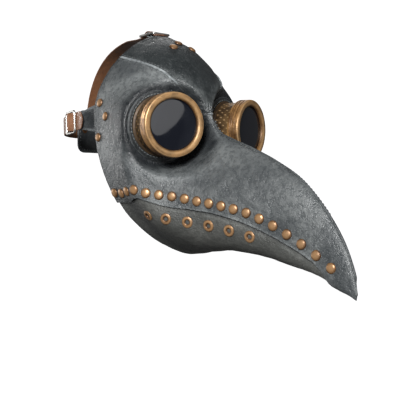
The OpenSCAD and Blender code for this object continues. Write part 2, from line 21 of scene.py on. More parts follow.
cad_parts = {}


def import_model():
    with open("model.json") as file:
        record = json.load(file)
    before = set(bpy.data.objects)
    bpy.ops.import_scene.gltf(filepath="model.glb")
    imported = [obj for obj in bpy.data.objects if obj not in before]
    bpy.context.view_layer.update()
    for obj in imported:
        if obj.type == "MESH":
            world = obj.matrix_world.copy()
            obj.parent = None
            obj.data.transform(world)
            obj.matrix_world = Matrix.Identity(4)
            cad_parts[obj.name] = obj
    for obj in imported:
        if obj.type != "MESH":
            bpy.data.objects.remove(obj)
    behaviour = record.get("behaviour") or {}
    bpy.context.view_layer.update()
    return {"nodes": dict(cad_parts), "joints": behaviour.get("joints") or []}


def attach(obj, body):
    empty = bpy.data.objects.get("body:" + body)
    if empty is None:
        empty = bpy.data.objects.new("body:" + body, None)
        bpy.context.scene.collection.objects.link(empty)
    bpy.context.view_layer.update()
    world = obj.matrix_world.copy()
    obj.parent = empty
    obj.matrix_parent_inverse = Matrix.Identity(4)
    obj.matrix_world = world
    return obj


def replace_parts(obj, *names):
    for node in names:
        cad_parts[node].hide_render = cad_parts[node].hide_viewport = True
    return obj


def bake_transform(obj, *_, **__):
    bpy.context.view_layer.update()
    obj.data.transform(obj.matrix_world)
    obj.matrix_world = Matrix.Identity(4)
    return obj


LOG = logging.getLogger("mask")
MM = 0.001
Place = Callable[[np.ndarray, np.ndarray], np.ndarray]
Outline = Sequence[tuple[float, float]]


class Side(Enum):
    """The wearer's right and left, with the sign of x on that side."""

    RIGHT = -1
    LEFT = 1

    @property
    def word(self) -> str:
        """The side's name as node names begin with it."""
        return self.name.lower()


# ---------------------------------------------------------------------------
# Bench work: small steps that every piece is made with
# ---------------------------------------------------------------------------


def deselect_all() -> None:
    """Leave nothing selected, so that an operator acts on the new piece only."""
    for obj in list(bpy.context.selected_objects):
        obj.select_set(False)


def take_up(obj: bpy.types.Object) -> None:
    """Make obj the only selected and the active object."""
    deselect_all()
    obj.select_set(True)
    bpy.context.view_layer.objects.active = obj


def apply_modifier(obj: bpy.types.Object, kind: str, **settings: object) -> None:
    """Add one modifier and apply it at once.

    Args:
        obj: The piece to finish.
        kind: Blender's name for the modifier type.
        settings: The modifier's values.
    """
    take_up(obj)
    modifier = obj.modifiers.new(kind.lower(), kind)
    for name, value in settings.items():
        setattr(modifier, name, value)
    bpy.ops.object.modifier_apply(modifier=modifier.name)


def clean(obj: bpy.types.Object, gap: float = 0.02) -> None:
    """Merge doubled points, close what is open and turn all faces outwards.

    Args:
        obj: The piece to clean.
        gap: Points nearer than this many millimetres become one.
    """
    take_up(obj)
    bpy.ops.object.mode_set(mode="EDIT")
    bpy.ops.mesh.select_all(action="SELECT")
    bpy.ops.mesh.remove_doubles(threshold=gap * MM)
    bpy.ops.mesh.fill_holes(sides=0)
    bpy.ops.mesh.normals_make_consistent(inside=False)
    bpy.ops.object.mode_set(mode="OBJECT")


def smooth(obj: bpy.types.Object, angle: float = 40.0) -> None:
    """Shade smooth, with edges sharper than an angle in degrees kept crisp."""
    take_up(obj)
    bpy.ops.object.shade_smooth_by_angle(angle=math.radians(angle))


def shaped_grid(name: str, along: int, across: int, place: Place) -> bpy.types.Object:
    """Add a grid and shape it by a rule.

    Args:
        name: The new object's name.
        along: Divisions along u.
        across: Divisions along v.
        place: Gives an array of points in millimetres for arrays of u and v, from 0 to 1.

    Returns:
        The new object, at the origin, with its place in its mesh.
    """
    deselect_all()
    bpy.ops.mesh.primitive_grid_add(x_subdivisions=along, y_subdivisions=across, size=1)
    obj = bpy.context.active_object
    obj.name = obj.data.name = name
    flat = np.empty(len(obj.data.vertices) * 3)
    obj.data.vertices.foreach_get("co", flat)
    spots = flat.reshape(-1, 3)
    placed = place(spots[:, 0] + 0.5, spots[:, 1] + 0.5) * MM
    obj.data.vertices.foreach_set("co", placed.ravel())
    obj.data.update()
    return obj


def turned(name: str, profile: Outline, segments: int = 96, closed: bool = True) -> bpy.types.Object:
    """Turn a profile about +Z, as on a lathe: a circle is extruded and scaled from point to point.

    Args:
        name: The new object's name.
        profile: (radius, height) pairs in millimetres.
        segments: Flats round the axis.
        closed: Whether the profile ends where it began.

    Returns:
        The turned piece, round the origin.
    """
    deselect_all()
    least = 0.01
    points = [(max(r, least), h) for r, h in profile]
    if closed:
        points.append(points[0])
    bpy.ops.mesh.primitive_circle_add(vertices=segments, radius=points[0][0] * MM)
    obj = bpy.context.active_object
    obj.name = obj.data.name = name
    bpy.ops.object.mode_set(mode="EDIT")
    bpy.ops.mesh.select_all(action="SELECT")
    bpy.ops.transform.translate(value=(0, 0, points[0][1] * MM))
    for (was_r, was_h), (r, h) in zip(points, points[1:]):
        bpy.ops.mesh.extrude_edges_move(TRANSFORM_OT_translate={"value": (0, 0, (h - was_h) * MM)})
        bpy.ops.transform.resize(value=(r / was_r, r / was_r, 1), center_override=(0, 0, h * MM))
    bpy.ops.object.mode_set(mode="OBJECT")
    clean(obj)
    return obj


def set_down(obj: bpy.types.Object, matrix: Matrix) -> bpy.types.Object:
    """Move a piece's mesh to its place, given in millimetres, and leave the object at the origin."""
    place = matrix.copy()
    place.translation = place.translation * MM
    obj.data.transform(place)
    obj.data.update()
    return obj


def copies(master: bpy.types.Object, places: Iterable[Matrix], name: str) -> bpy.types.Object:
    """Copy a modelled piece to many places and join the copies.

    Args:
        master: The piece to copy. It is used up.
        places: Where each copy goes, in millimetres.
        name: The joined object's name.

    Returns:
        One object that holds all the copies.
    """
    made = []
    for place in places:
        copy = master.copy()
        copy.data = master.data.copy()
        bpy.context.scene.collection.objects.link(copy)
        made.append(set_down(copy, place))
    bpy.data.objects.remove(master)
    take_up(made[0])
    for copy in made:
        copy.select_set(True)
    bpy.ops.object.join()
    made[0].name = made[0].data.name = name
    return made[0]


def bead(stretch: tuple[float, float, float], radius: float = 0.5, segments: int = 8,
         rings: int = 6) -> bpy.types.Object:
    """A small ball stretched along its axes, to be copied as a stitch or a stud.

    Args:
        stretch: Factors along x, y and z.
        radius: Radius of the ball before it is stretched.
        segments: Flats round the ball.
        rings: Rings from pole to pole.

    Returns:
        The bead, round the origin.
    """
    deselect_all()
    bpy.ops.mesh.primitive_uv_sphere_add(segments=segments, ring_count=rings, radius=radius * MM)
    obj = bpy.context.active_object
    bpy.ops.object.mode_set(mode="EDIT")
    bpy.ops.mesh.select_all(action="SELECT")
    bpy.ops.transform.resize(value=stretch, center_override=(0, 0, 0))
    bpy.ops.object.mode_set(mode="OBJECT")
    return obj


def join(pieces: Sequence[bpy.types.Object], name: str) -> bpy.types.Object:
    """Join several pieces into one object with a new name."""
    take_up(pieces[0])
    for piece in pieces:
        piece.select_set(True)
    bpy.ops.object.join()
    pieces[0].name = pieces[0].data.name = name
    return pieces[0]


def paint(obj: bpy.types.Object, name: str, values: np.ndarray) -> None:
    """Store one number a point, which a finish reads back by its name."""
    layer = obj.data.attributes.get(name) or obj.data.attributes.new(name, "FLOAT", "POINT")
    layer.data.foreach_set("value", np.clip(values, 0, 1).astype(np.float32))


def points_of(obj: bpy.types.Object) -> np.ndarray:
    """The piece's points in millimetres."""
    flat = np.empty(len(obj.data.vertices) * 3)
    obj.data.vertices.foreach_get("co", flat)
    return flat.reshape(-1, 3) / MM


def ease(f: np.ndarray | float) -> np.ndarray | float:
    """A soft step from 0 to 1."""
    g = np.clip(f, 0, 1)
    return g * g * (3 - 2 * g)


def unit(v: np.ndarray) -> np.ndarray:
    """Vectors along the last axis, brought to length 1."""
    return v / np.linalg.norm(v, axis=-1, keepdims=True)


def led_on(path: np.ndarray) -> np.ndarray:
    """A path with one more point at each end, straight on from it."""
    return np.vstack([2 * path[0] - path[1], path, 2 * path[-1] - path[-2]])


def on_curve(a: np.ndarray, b: np.ndarray, c: np.ndarray, d: np.ndarray, f: np.ndarray | float) -> np.ndarray:
    """The place a share f of the way from b to c, on a smooth curve through a, b, c and d."""
    return (2 * b + (c - a) * f + (2 * a - 5 * b + 4 * c - d) * f ** 2
            + (3 * b - a - 3 * c + d) * f ** 3) / 2


def flat_oval(turn: np.ndarray) -> tuple[np.ndarray, np.ndarray]:
    """Across and up, from -1 to 1, round the section of a strap with soft edges."""
    return (np.sign(np.cos(turn)) * np.abs(np.cos(turn)) ** 0.35,
            np.sign(np.sin(turn)) * np.abs(np.sin(turn)) ** 0.55)


def stand(origin: np.ndarray, out: np.ndarray, ahead: np.ndarray) -> Matrix:
    """The place of a piece that stands on a surface.

    Args:
        origin: The foot of the piece.
        out: The piece's +Z.
        ahead: Roughly the piece's +X.

    Returns:
        The matrix that sets it down.
    """
    z = unit(out)
    y = unit(np.cross(z, ahead))
    x = np.cross(y, z)
    return Matrix([[x[i], y[i], z[i], origin[i]] for i in range(3)] + [[0, 0, 0, 1]])


# ---------------------------------------------------------------------------
# Finishes
# ---------------------------------------------------------------------------


class NodeBoard:
    """A material's shader nodes, laid out and wired step by step."""

    def __init__(self, name: str) -> None:
        """Start a material with an empty board and its Principled shader."""
        self.material = bpy.data.materials.new(name)
        self.material.use_nodes = True
        self.tree = self.material.node_tree
        self.tree.nodes.clear()
        self.shader = self.tree.nodes.new("ShaderNodeBsdfPrincipled")
        output = self.tree.nodes.new("ShaderNodeOutputMaterial")
        self.tree.links.new(self.shader.outputs["BSDF"], output.inputs["Surface"])
        self.object_place = self.tree.nodes.new("ShaderNodeTexCoord").outputs["Object"]

    def wire(self, socket: bpy.types.NodeSocket, value: object) -> None:
        """Link a socket to another, or set it to a constant."""
        if isinstance(value, bpy.types.NodeSocket):
            self.tree.links.new(value, socket)
        else:
            socket.default_value = value

    def stretched(self, scale: Sequence[float], turn: Sequence[float] = (0, 0, 0)) -> bpy.types.NodeSocket:
        """Object coordinates turned and scaled for a pattern with a direction."""
        mapping = self.tree.nodes.new("ShaderNodeMapping")
        mapping.vector_type = "POINT"
        self.wire(mapping.inputs["Vector"], self.object_place)
        self.wire(mapping.inputs["Scale"], tuple(scale))
        self.wire(mapping.inputs["Rotation"], tuple(turn))
        return mapping.outputs["Vector"]

    def noise(self, scale: float, detail: float = 4.0, rough: float = 0.55,
              where: bpy.types.NodeSocket | None = None) -> bpy.types.NodeSocket:
        """Cloudy noise, from 0 to 1; scale is in waves a metre."""
        node = self.tree.nodes.new("ShaderNodeTexNoise")
        self.wire(node.inputs["Vector"], where or self.object_place)
        self.wire(node.inputs["Scale"], scale)
        self.wire(node.inputs["Detail"], detail)
        self.wire(node.inputs["Roughness"], rough)
        return node.outputs["Fac"]

    def cells(self, scale: float) -> bpy.types.NodeSocket:
        """Distance inside rounded cells, for the pebbles of leather grain."""
        node = self.tree.nodes.new("ShaderNodeTexVoronoi")
        node.feature = "SMOOTH_F1"
        self.wire(node.inputs["Vector"], self.object_place)
        self.wire(node.inputs["Scale"], scale)
        return node.outputs["Distance"]

    def painted(self, name: str) -> bpy.types.NodeSocket:
        """A number that the piece carries at each of its points."""
        node = self.tree.nodes.new("ShaderNodeAttribute")
        node.attribute_name = name
        return node.outputs["Fac"]

    def remap(self, value: bpy.types.NodeSocket, low: float, high: float,
              to_low: float = 0.0, to_high: float = 1.0) -> bpy.types.NodeSocket:
        """Stretch a range of values to another one, softly clamped."""
        node = self.tree.nodes.new("ShaderNodeMapRange")
        node.interpolation_type = "SMOOTHSTEP"
        for name, number in (("From Min", low), ("From Max", high), ("To Min", to_low), ("To Max", to_high)):
            self.wire(node.inputs[name], number)
        self.wire(node.inputs["Value"], value)
        return node.outputs["Result"]

    def math(self, kind: str, a: object, b: object) -> bpy.types.NodeSocket:
        """One sum on two values."""
        node = self.tree.nodes.new("ShaderNodeMath")
        node.operation = kind
        node.use_clamp = True
        self.wire(node.inputs[0], a)
        self.wire(node.inputs[1], b)
        return node.outputs[0]

    def mix(self, factor: object, a: object, b: object) -> bpy.types.NodeSocket:
        """A colour between a and b."""
        node = self.tree.nodes.new("ShaderNodeMix")
        node.data_type = "RGBA"
        self.wire(node.inputs[0], factor)
        self.wire(node.inputs[6], a)
        self.wire(node.inputs[7], b)
        return node.outputs[2]

    def bump(self, steps: Sequence[tuple[bpy.types.NodeSocket, float]]) -> None:
        """Stack relief on the shader: each step is a height and its depth in millimetres."""
        below = None
        for height, depth in steps:
            node = self.tree.nodes.new("ShaderNodeBump")
            self.wire(node.inputs["Distance"], depth * MM)
            self.wire(node.inputs["Height"], height)
            if below is not None:
                self.wire(node.inputs["Normal"], below)
            below = node.outputs["Normal"]
        self.wire(self.shader.inputs["Normal"], below)

    def set(self, **values: object) -> None:
        """Set or wire the shader's sockets, named with underscores for spaces."""
        for name, value in values.items():
            self.wire(self.shader.inputs[name.replace("_", " ")], value)


Colour = tuple[float, float, float, float]


def tone(red: float, green: float, blue: float) -> Colour:
    """An opaque colour."""
    return (red, green, blue, 1.0)


@dataclass(frozen=True)
class Leather:
    """Painted leather: a dark ground, paler dry-brushed patches, rubbed edges with painted highlights, and
    painted shade in the hollows.
    """

    name: str
    ground: Colour
    brushed: Colour
    rubbed: Colour
    soot: Colour
    gloss: float = 0.42
    pebble: float = 0.16
    mottle: float = 1.0

    def material(self) -> bpy.types.Material:
        """Build the finish as shader nodes."""
        board = NodeBoard(self.name)
        clouds = board.noise(22, 3, 0.5)
        flecks = board.noise(190, 7, 0.68)
        fine = board.noise(900, 3, 0.6)
        patches = board.math("MULTIPLY", board.remap(clouds, 0.36, 0.62),
                             board.remap(flecks, 0.38, 0.66, 0.35, 1))
        # Pale where the attribute says so: real rubbing, and the painted highlights of the panels.
        worn = board.math("MULTIPLY", board.painted("wear"), board.remap(flecks, 0.3, 0.62, 0.25, 1))
        streaks = board.remap(flecks, 0.42, 0.6)
        colour = board.mix(board.math("MULTIPLY", patches, self.mottle), self.ground, self.brushed)
        colour = board.mix(worn, colour, self.rubbed)
        # Dark where the attribute says so: mostly painted shade, with a darker rear edge.
        colour = board.mix(board.painted("soot"), colour, self.soot)
        pits = board.remap(board.cells(620), 0.05, 0.55)
        specks = board.math("MULTIPLY", board.remap(fine, 0.62, 0.45), 0.22)
        board.set(
            Base_Color=board.mix(specks, colour, self.soot),
            Roughness=board.remap(streaks, 0, 1, self.gloss - 0.07, self.gloss + 0.12),
            Specular_IOR_Level=0.5,
        )
        board.bump([(clouds, 0.9), (flecks, 1.1), (pits, self.pebble), (fine, 0.16)])
        return board.material


@dataclass(frozen=True)
class Suede:
    """The rough flesh side of the leather, seen from behind."""

    name: str
    ground: Colour
    worn: Colour

    def material(self) -> bpy.types.Material:
        """Build the finish as shader nodes."""
        board = NodeBoard(self.name)
        fibres = board.noise(1400, 4, 0.7)
        clouds = board.noise(40, 4, 0.6)
        nap = board.math("MULTIPLY", board.remap(clouds, 0.35, 0.7), fibres)
        board.set(
            Base_Color=board.mix(nap, self.ground, self.worn),
            Roughness=board.remap(fibres, 0.2, 0.8, 0.82, 0.97),
            Sheen_Weight=0.25,
            Sheen_Roughness=0.5,
        )
        board.bump([(clouds, 0.5), (fibres, 0.2)])
        return board.material


@dataclass(frozen=True)
class Bronze:
    """Bronze paint over a casting: turning marks, dark wash in the low places, rubbed edges, and painted
    shade where a piece carries it.
    """

    name: str
    ground: Colour
    wash: Colour
    bright: Colour
    metal: float
    gloss: float

    def material(self) -> bpy.types.Material:
        """Build the finish as shader nodes."""
        board = NodeBoard(self.name)
        blotches = board.noise(75, 5, 0.62)
        scratches = board.noise(420, 5, 0.7, board.stretched((0.25, 1.0, 1.6)))
        grit = board.noise(1300, 3, 0.6)
        colour = board.mix(board.remap(blotches, 0.36, 0.64), self.wash, self.ground)
        colour = board.mix(board.remap(scratches, 0.56, 0.74, 0, 0.6), colour, self.bright)
        colour = board.mix(board.painted("wear"), colour, self.bright)
        # Dark towards the wash colour: real wash in the hollows of bezel and barrel, and painted shade at the
        # feet of the rivets and inside the eyelets.
        colour = board.mix(board.painted("soot"), colour, self.wash)
        board.set(
            Base_Color=colour,
            Metallic=self.metal,
            Roughness=board.remap(blotches, 0.3, 0.7, self.gloss + 0.14, self.gloss),
        )
        board.bump([(blotches, 0.25), (scratches, 0.12), (grit, 0.05)])
        return board.material


@dataclass(frozen=True)
class Lacquer:
    """A smooth, near-black, polished surface with faint wiping haze."""

    name: str
    ground: Colour
    haze: Colour

    def material(self) -> bpy.types.Material:
        """Build the finish as shader nodes."""
        board = NodeBoard(self.name)
        smears = board.noise(28, 3, 0.5, board.stretched((1.0, 1.0, 0.45)))
        board.set(
            Base_Color=board.mix(board.remap(smears, 0.45, 0.75, 0, 0.5), self.ground, self.haze),
            Roughness=board.remap(smears, 0.3, 0.8, 0.03, 0.11),
            Specular_IOR_Level=0.55,
            Coat_Weight=0.3,
            Coat_Roughness=0.03,
        )
        board.bump([(smears, 0.05)])
        return board.material


@dataclass(frozen=True)
class Rubber:
    """Matt black rubber with a moulded grain."""

    name: str
    ground: Colour

    def material(self) -> bpy.types.Material:
        """Build the finish as shader nodes."""
        board = NodeBoard(self.name)
        grain = board.noise(1100, 4, 0.6)
        dust = board.noise(60, 4, 0.6)
        board.set(
            Base_Color=board.mix(board.remap(dust, 0.5, 0.75, 0, 0.4), self.ground, tone(0.06, 0.06, 0.06)),
            Roughness=board.remap(grain, 0.3, 0.7, 0.62, 0.8),
        )
        board.bump([(grain, 0.06)])
        return board.material


@dataclass(frozen=True)
class Paper:
    """The pale paper of the studio sweep."""

    name: str
    ground: Colour
    glow: float

    def material(self) -> bpy.types.Material:
        """Build the finish as shader nodes."""
        board = NodeBoard(self.name)
        board.set(Base_Color=self.ground, Roughness=0.9, Emission_Color=self.ground,
                  Emission_Strength=self.glow)
        return board.material


class Finishes:
    """Every finish of the mask, each made once."""

    def __init__(self) -> None:
        """Build the materials."""
        soot = tone(0.012, 0.014, 0.016)
        self.cheek = Leather("cheek_leather", tone(0.050, 0.056, 0.059), tone(0.135, 0.144, 0.144),
                             tone(0.30, 0.32, 0.32), soot, gloss=0.33).material()
        # Painted shade: the forehead is the cheek's leather, given darker tones because it lies in shade.
        self.brow = Leather("brow_leather", tone(0.012, 0.015, 0.016), tone(0.036, 0.041, 0.042),
                            tone(0.22, 0.24, 0.24), soot, gloss=0.36, mottle=0.85).material()
        self.jaw = Leather("jaw_leather", tone(0.060, 0.062, 0.057), tone(0.112, 0.113, 0.104),
                           tone(0.22, 0.23, 0.22), soot, gloss=0.48, mottle=0.8).material()
        self.trim = Leather("trim_leather", tone(0.022, 0.025, 0.027), tone(0.075, 0.082, 0.085),
                            tone(0.36, 0.39, 0.40), soot, gloss=0.42, mottle=0.7).material()
        self.padding = Leather("padding_leather", tone(0.010, 0.012, 0.013), tone(0.040, 0.045, 0.047),
                               tone(0.22, 0.24, 0.245), soot, gloss=0.4, mottle=0.6).material()
        self.strap = Leather("strap_leather", tone(0.20, 0.085, 0.038), tone(0.32, 0.155, 0.08),
                             tone(0.07, 0.032, 0.018), tone(0.05, 0.024, 0.014), gloss=0.4,
                             pebble=0.1, mottle=0.8).material()
        self.flesh = Suede("flesh_side", tone(0.075, 0.068, 0.06), tone(0.24, 0.215, 0.19)).material()
        self.seam_thread = Leather("seam_thread", tone(0.06, 0.066, 0.068), tone(0.13, 0.14, 0.14),
                                   tone(0.3, 0.32, 0.32), soot, pebble=0.02).material()
        self.thread = Leather("waxed_thread", tone(0.13, 0.14, 0.145), tone(0.3, 0.32, 0.32),
                              tone(0.4, 0.42, 0.42), soot, pebble=0.02).material()
        self.bezel = Bronze("bezel_bronze", tone(0.33, 0.175, 0.065), tone(0.085, 0.040, 0.013),
                            tone(0.68, 0.44, 0.22), 0.4, 0.33).material()
        self.barrel = Bronze("barrel_bronze", tone(0.17, 0.10, 0.042), tone(0.035, 0.020, 0.010),
                             tone(0.42, 0.27, 0.13), 0.4, 0.38).material()
        self.foot = Bronze("ring_bronze", tone(0.055, 0.042, 0.030), tone(0.016, 0.013, 0.011),
                           tone(0.40, 0.38, 0.34), 0.4, 0.4).material()
        self.copper = Bronze("stud_copper", tone(0.25, 0.13, 0.056), tone(0.085, 0.038, 0.016),
                             tone(0.60, 0.36, 0.18), 0.45, 0.3).material()
        self.nickel = Bronze("buckle_nickel", tone(0.55, 0.54, 0.51), tone(0.25, 0.24, 0.22),
                             tone(0.85, 0.84, 0.81), 0.95, 0.24).material()
        self.lens = Lacquer("smoked_lens", tone(0.004, 0.005, 0.009), tone(0.016, 0.018, 0.024)).material()
        self.rubber = Rubber("black_rubber", tone(0.018, 0.018, 0.018)).material()


def dress(obj: bpy.types.Object, *materials: bpy.types.Material) -> None:
    """Give a piece its materials, in slot order."""
    obj.data.materials.clear()
    for material in materials:
        obj.data.materials.append(material)


def dress_thread(obj: bpy.types.Object, rub: float, material: bpy.types.Material) -> None:
    """Rub a row of stitches evenly, round it and give it its material."""
    paint(obj, "wear", np.full(len(obj.data.vertices), rub))
    smooth(obj, 80)
    dress(obj, material)


# ---------------------------------------------------------------------------
# The form of the leather
# ---------------------------------------------------------------------------

Line = Sequence[tuple[float, float]]


@dataclass(frozen=True)
class Eye:
    """One eye's place: the middle of its seat and the direction in which it looks."""

    centre: np.ndarray
    axis: np.ndarray

    def away(self, points: np.ndarray) -> tuple[np.ndarray, np.ndarray]:
        """How far points lie in front of the seat, and how far from the axis."""
        from_eye = points - self.centre
        depth = from_eye @ self.axis
        return depth, np.linalg.norm(from_eye - depth[..., None] * self.axis, axis=-1)

    def place(self) -> Matrix:
        """Sets a piece down with +Z along the eye's axis and +X level."""
        return stand(self.centre, self.axis, np.cross((0.0, 0.0, 1.0), self.axis))


@dataclass(frozen=True)
class Shell:
    """The mask's curved surface, drawn through cross-sections from the rear edge to the tip.

    A place on it is (section, degrees round the section from the top ridge).
    """

    eyes: dict[Side, Eye]
    leather: float = 2.5
    seat_flat: float = 40.5
    seat_blend: float = 16.0
    seat_reach: float = 60.0
    proud_reach: float = 66.0
    ear_dip: float = 0.32
    ear_dip_at: float = 107.0
    ear_dip_spread: float = 22.0
    # Ridge y and z, half width, side y and z, keel y and z, forward sweep above the side,
    # sharpness of the ridge, fullness below the side, forward sweep below the side
    sections: np.ndarray = field(default_factory=lambda: np.array([
        (-34, 110, 78, 2, 10, -83, -146, 1.7, 1, 0.78, 1.8),
        (-66, 94, 80, -22, 6, -94, -145, 1.7, 1, 0.78, 1.8),
        (-90, 72, 83, -44, -2, -103, -144, 1.7, 1, 0.78, 1.8),
        (-107, 43, 84, -61, -18, -113, -142, 1.6, 1.1, 0.80, 1.6),
        (-114, 13, 76, -78, -48, -125, -141, 1.5, 1.5, 0.85, 1.5),
        (-126, -7, 63, -100, -72, -138, -140, 1.3, 1.9, 0.90, 1.3),
        (-148, -17, 50, -126, -83, -155, -140, 1.2, 1.7, 0.90, 1.2),
        (-180, -29, 40, -157, -92, -180, -142, 1.1, 1.4, 0.90, 1.1),
        (-212, -43, 30, -190, -103, -207, -146, 1.0, 1.2, 0.90, 1.0),
        (-245, -62, 21, -222, -116, -235, -152, 1.0, 1.1, 0.90, 1.0),
        (-275, -91, 13, -254, -132, -263, -159, 1.0, 1.05, 0.90, 1.0),
        (-297, -121, 8, -282, -148, -288, -168, 1.0, 1, 0.90, 1.0),
        (-310, -150, 4.5, -302, -162, -305, -174, 1.0, 1, 1.0, 1.0),
        (-315, -171, 1.5, -313, -174.5, -313, -178, 1.0, 1, 1.0, 1.0),
    ], float))

    @property
    def tip(self) -> int:
        """The last section's number."""
        return len(self.sections) - 1

    def section(self, t: np.ndarray) -> np.ndarray:
        """The sections' columns at t, on a smooth curve through them."""
        rows = led_on(self.sections)
        i = np.clip(np.floor(t).astype(int), 0, self.tip - 1)
        return on_curve(rows[i], rows[i + 1], rows[i + 2], rows[i + 3], (t - i)[..., None])

    def drawn(self, t: np.ndarray, angle: np.ndarray, out: np.ndarray) -> np.ndarray:
        """Points of the shell before the eye seats are pressed in."""
        s = self.section(t)
        ahead = self.section(t + 0.05) - self.section(t - 0.05)
        turn = np.radians(angle)
        upper = np.cos(turn) > 0
        c = np.abs(np.cos(turn))
        rims = []
        for first, sign in ((0, -1), (5, 1)):
            along = unit(ahead[..., first:first + 2])
            normal = np.stack([-along[..., 1], along[..., 0]], -1)
            rims.append(s[..., first:first + 2] + (out * sign)[..., None] * normal)
        rim = np.where(upper[..., None], rims[0], rims[1])
        across = c ** np.where(upper, s[..., 7], s[..., 10])
        rise = c ** np.where(upper, 1 + (s[..., 8] - 1) / 4, s[..., 9])
        around = np.abs(np.sin(turn)) ** np.where(upper, s[..., 8], 1.0) * np.sign(np.sin(turn))
        return np.stack([
            (s[..., 2] + out) * around,
            s[..., 3] + (rim[..., 0] - s[..., 3]) * across,
            s[..., 4] + (rim[..., 1] - s[..., 4]) * rise,
        ], -1)

    def skin(self, t: np.ndarray, angle: np.ndarray, out: np.ndarray | float = 0.0) -> np.ndarray:
        """Points of the shell, pressed flat round each eye to seat the goggle.

        Args:
            t: Sections.
            angle: Degrees round the section.
            out: How far above the leather's face.

        Returns:
            Points in millimetres.
        """
        t, angle, out = np.broadcast_arrays(*(np.asarray(part, float) for part in (t, angle, out)))
        points = self.drawn(t, angle, out)
        for side, eye in self.eyes.items():
            depth, away = eye.away(points)
            reach = np.where(depth < 0, self.seat_reach + depth, self.proud_reach - depth)
            press = ease((self.seat_flat + self.seat_blend - away) / self.seat_blend)
            press = press * ease(reach / (self.seat_reach / 2)) * (points[..., 0] * side.value >= 0)
            points = points - (press * (depth - out))[..., None] * eye.axis
        return points

    def normal(self, t: np.ndarray, angle: np.ndarray) -> np.ndarray:
        """Outward directions of the shell."""
        t, angle = np.broadcast_arrays(np.asarray(t, float), np.asarray(angle, float))
        along = self.skin(t + 0.03, angle) - self.skin(t - 0.03, angle)
        across = self.skin(t, angle + 0.4) - self.skin(t, angle - 0.4)
        return unit(np.cross(along, across))

    def rear_edge(self, t: np.ndarray, angle: np.ndarray) -> np.ndarray:
        """t moved forwards where the rear edge dips below the ear."""
        around = np.abs((angle + 180) % 360 - 180)
        dip = np.exp(-((around - self.ear_dip_at) / self.ear_dip_spread) ** 2)
        return t + self.ear_dip * np.maximum(0, 1 - t) * dip

    def wall(self, t: np.ndarray) -> np.ndarray:
        """Thickness of the leather, which thins towards the tip."""
        return np.minimum(self.leather, 0.42 * self.section(np.asarray(t, float))[..., 2])

    def eye_distance(self, points: np.ndarray) -> np.ndarray:
        """Distance of points from the nearer eye's axis."""
        return np.minimum(*(eye.away(points)[1] for eye in self.eyes.values()))


@dataclass(frozen=True)
class Seams:
    """Lines on the shell, as (section, degrees) points."""

    jaw: Line = ((0, 122), (1, 121.5), (2, 120), (3, 115), (4, 108.5), (5, 102), (6, 97), (7, 93.5),
                 (8, 92), (9, 93), (10, 95), (10.4, 98), (10.7, 108), (10.8, 130), (10.9, 155),
                 (11, 180), (13, 180))
    rivets: Line = ((0, 117), (1.5, 116), (2.7, 112), (3.8, 105), (4.5, 98), (5.1, 92), (6, 87),
                    (7, 84), (8, 81), (9, 81.3), (10, 82), (13, 84))
    eyelets: Line = ((0, 138), (2.7, 128), (4.5, 118.5), (5.4, 114), (6.3, 112.3), (8, 110.5), (13, 110))
    brow: Line = ((0, 44), (0.7, 42), (1.2, 39), (1.7, 34.5), (2.1, 30.5), (2.5, 27), (2.9, 22),
                  (3.3, 17), (3.9, 11), (4.05, 0), (13, 0))
    bridge: float = 3.9
    below_bridge: float = 4.05
    brow_end: float = 2.75
    jaw_end: float = 11.0
    jaw_lap: float = 5.0

    @staticmethod
    def at(line: Line, t: np.ndarray) -> np.ndarray:
        """The line's degrees at sections t."""
        sections, degrees = zip(*line)
        return np.interp(t, sections, degrees)


@dataclass
class Run:
    """A line laid on the shell, measured along its length.

    way gives the section and the degrees for a number that runs from start to end.
    """

    shell: Shell
    way: Callable[[np.ndarray], tuple[np.ndarray, np.ndarray]]
    start: float
    end: float
    out: float = 0.0

    def __post_init__(self) -> None:
        """Measure the line in small steps."""
        self.stops = np.linspace(self.start, self.end, 900)
        steps = np.linalg.norm(np.diff(self.shell.skin(*self.way(self.stops), self.out), axis=0), axis=1)
        self.length_at = np.concatenate([[0], np.cumsum(steps)])

    @property
    def length(self) -> float:
        """Length of the whole line."""
        return float(self.length_at[-1])

    def frames(self, distance: np.ndarray) -> tuple[np.ndarray, np.ndarray, np.ndarray]:
        """Points, outward normals and directions ahead at distances along the line."""
        stop = np.interp(distance, self.length_at, self.stops)
        small = (self.end - self.start) / 900
        ahead = unit(self.shell.skin(*self.way(stop + small), self.out)
                     - self.shell.skin(*self.way(stop - small), self.out))
        return self.shell.skin(*self.way(stop), self.out), self.shell.normal(*self.way(stop)), ahead

    def places(self, distances: Sequence[float], aside: float = 0.0, lift: float = 0.0) -> list[Matrix]:
        """Where pieces stand along the line.

        Args:
            distances: Distances along the line.
            aside: Shift to the line's left, seen from outside.
            lift: Shift outwards.

        Returns:
            One matrix for each piece, with +X ahead and +Z outwards.
        """
        points, normals, ahead = self.frames(np.asarray(distances, float))
        aside_way = np.cross(normals, ahead)
        points = points + aside_way * aside + normals * lift
        return [stand(p, n, a) for p, n, a in zip(points, normals, ahead)]


def stitch_row(name: str, runs: Sequence[tuple[Run, float, float]], pitch: float = 4.2,
               length: float = 2.9) -> bpy.types.Object:
    """Rows of thread stitches along lines.

    Args:
        name: The new object's name.
        runs: (line, shift aside, lift) of each row.
        pitch: From one stitch to the next.
        length: Length of a stitch.

    Returns:
        One object that holds the stitches.
    """
    places = []
    for run, aside, lift in runs:
        count = max(2, int(run.length / pitch))
        places += run.places([(k + 0.5) * run.length / count for k in range(count)], aside, lift)
    return copies(bead((length, 0.85, 0.8)), places, name)


# ---------------------------------------------------------------------------
# Leather panels and seams
# ---------------------------------------------------------------------------


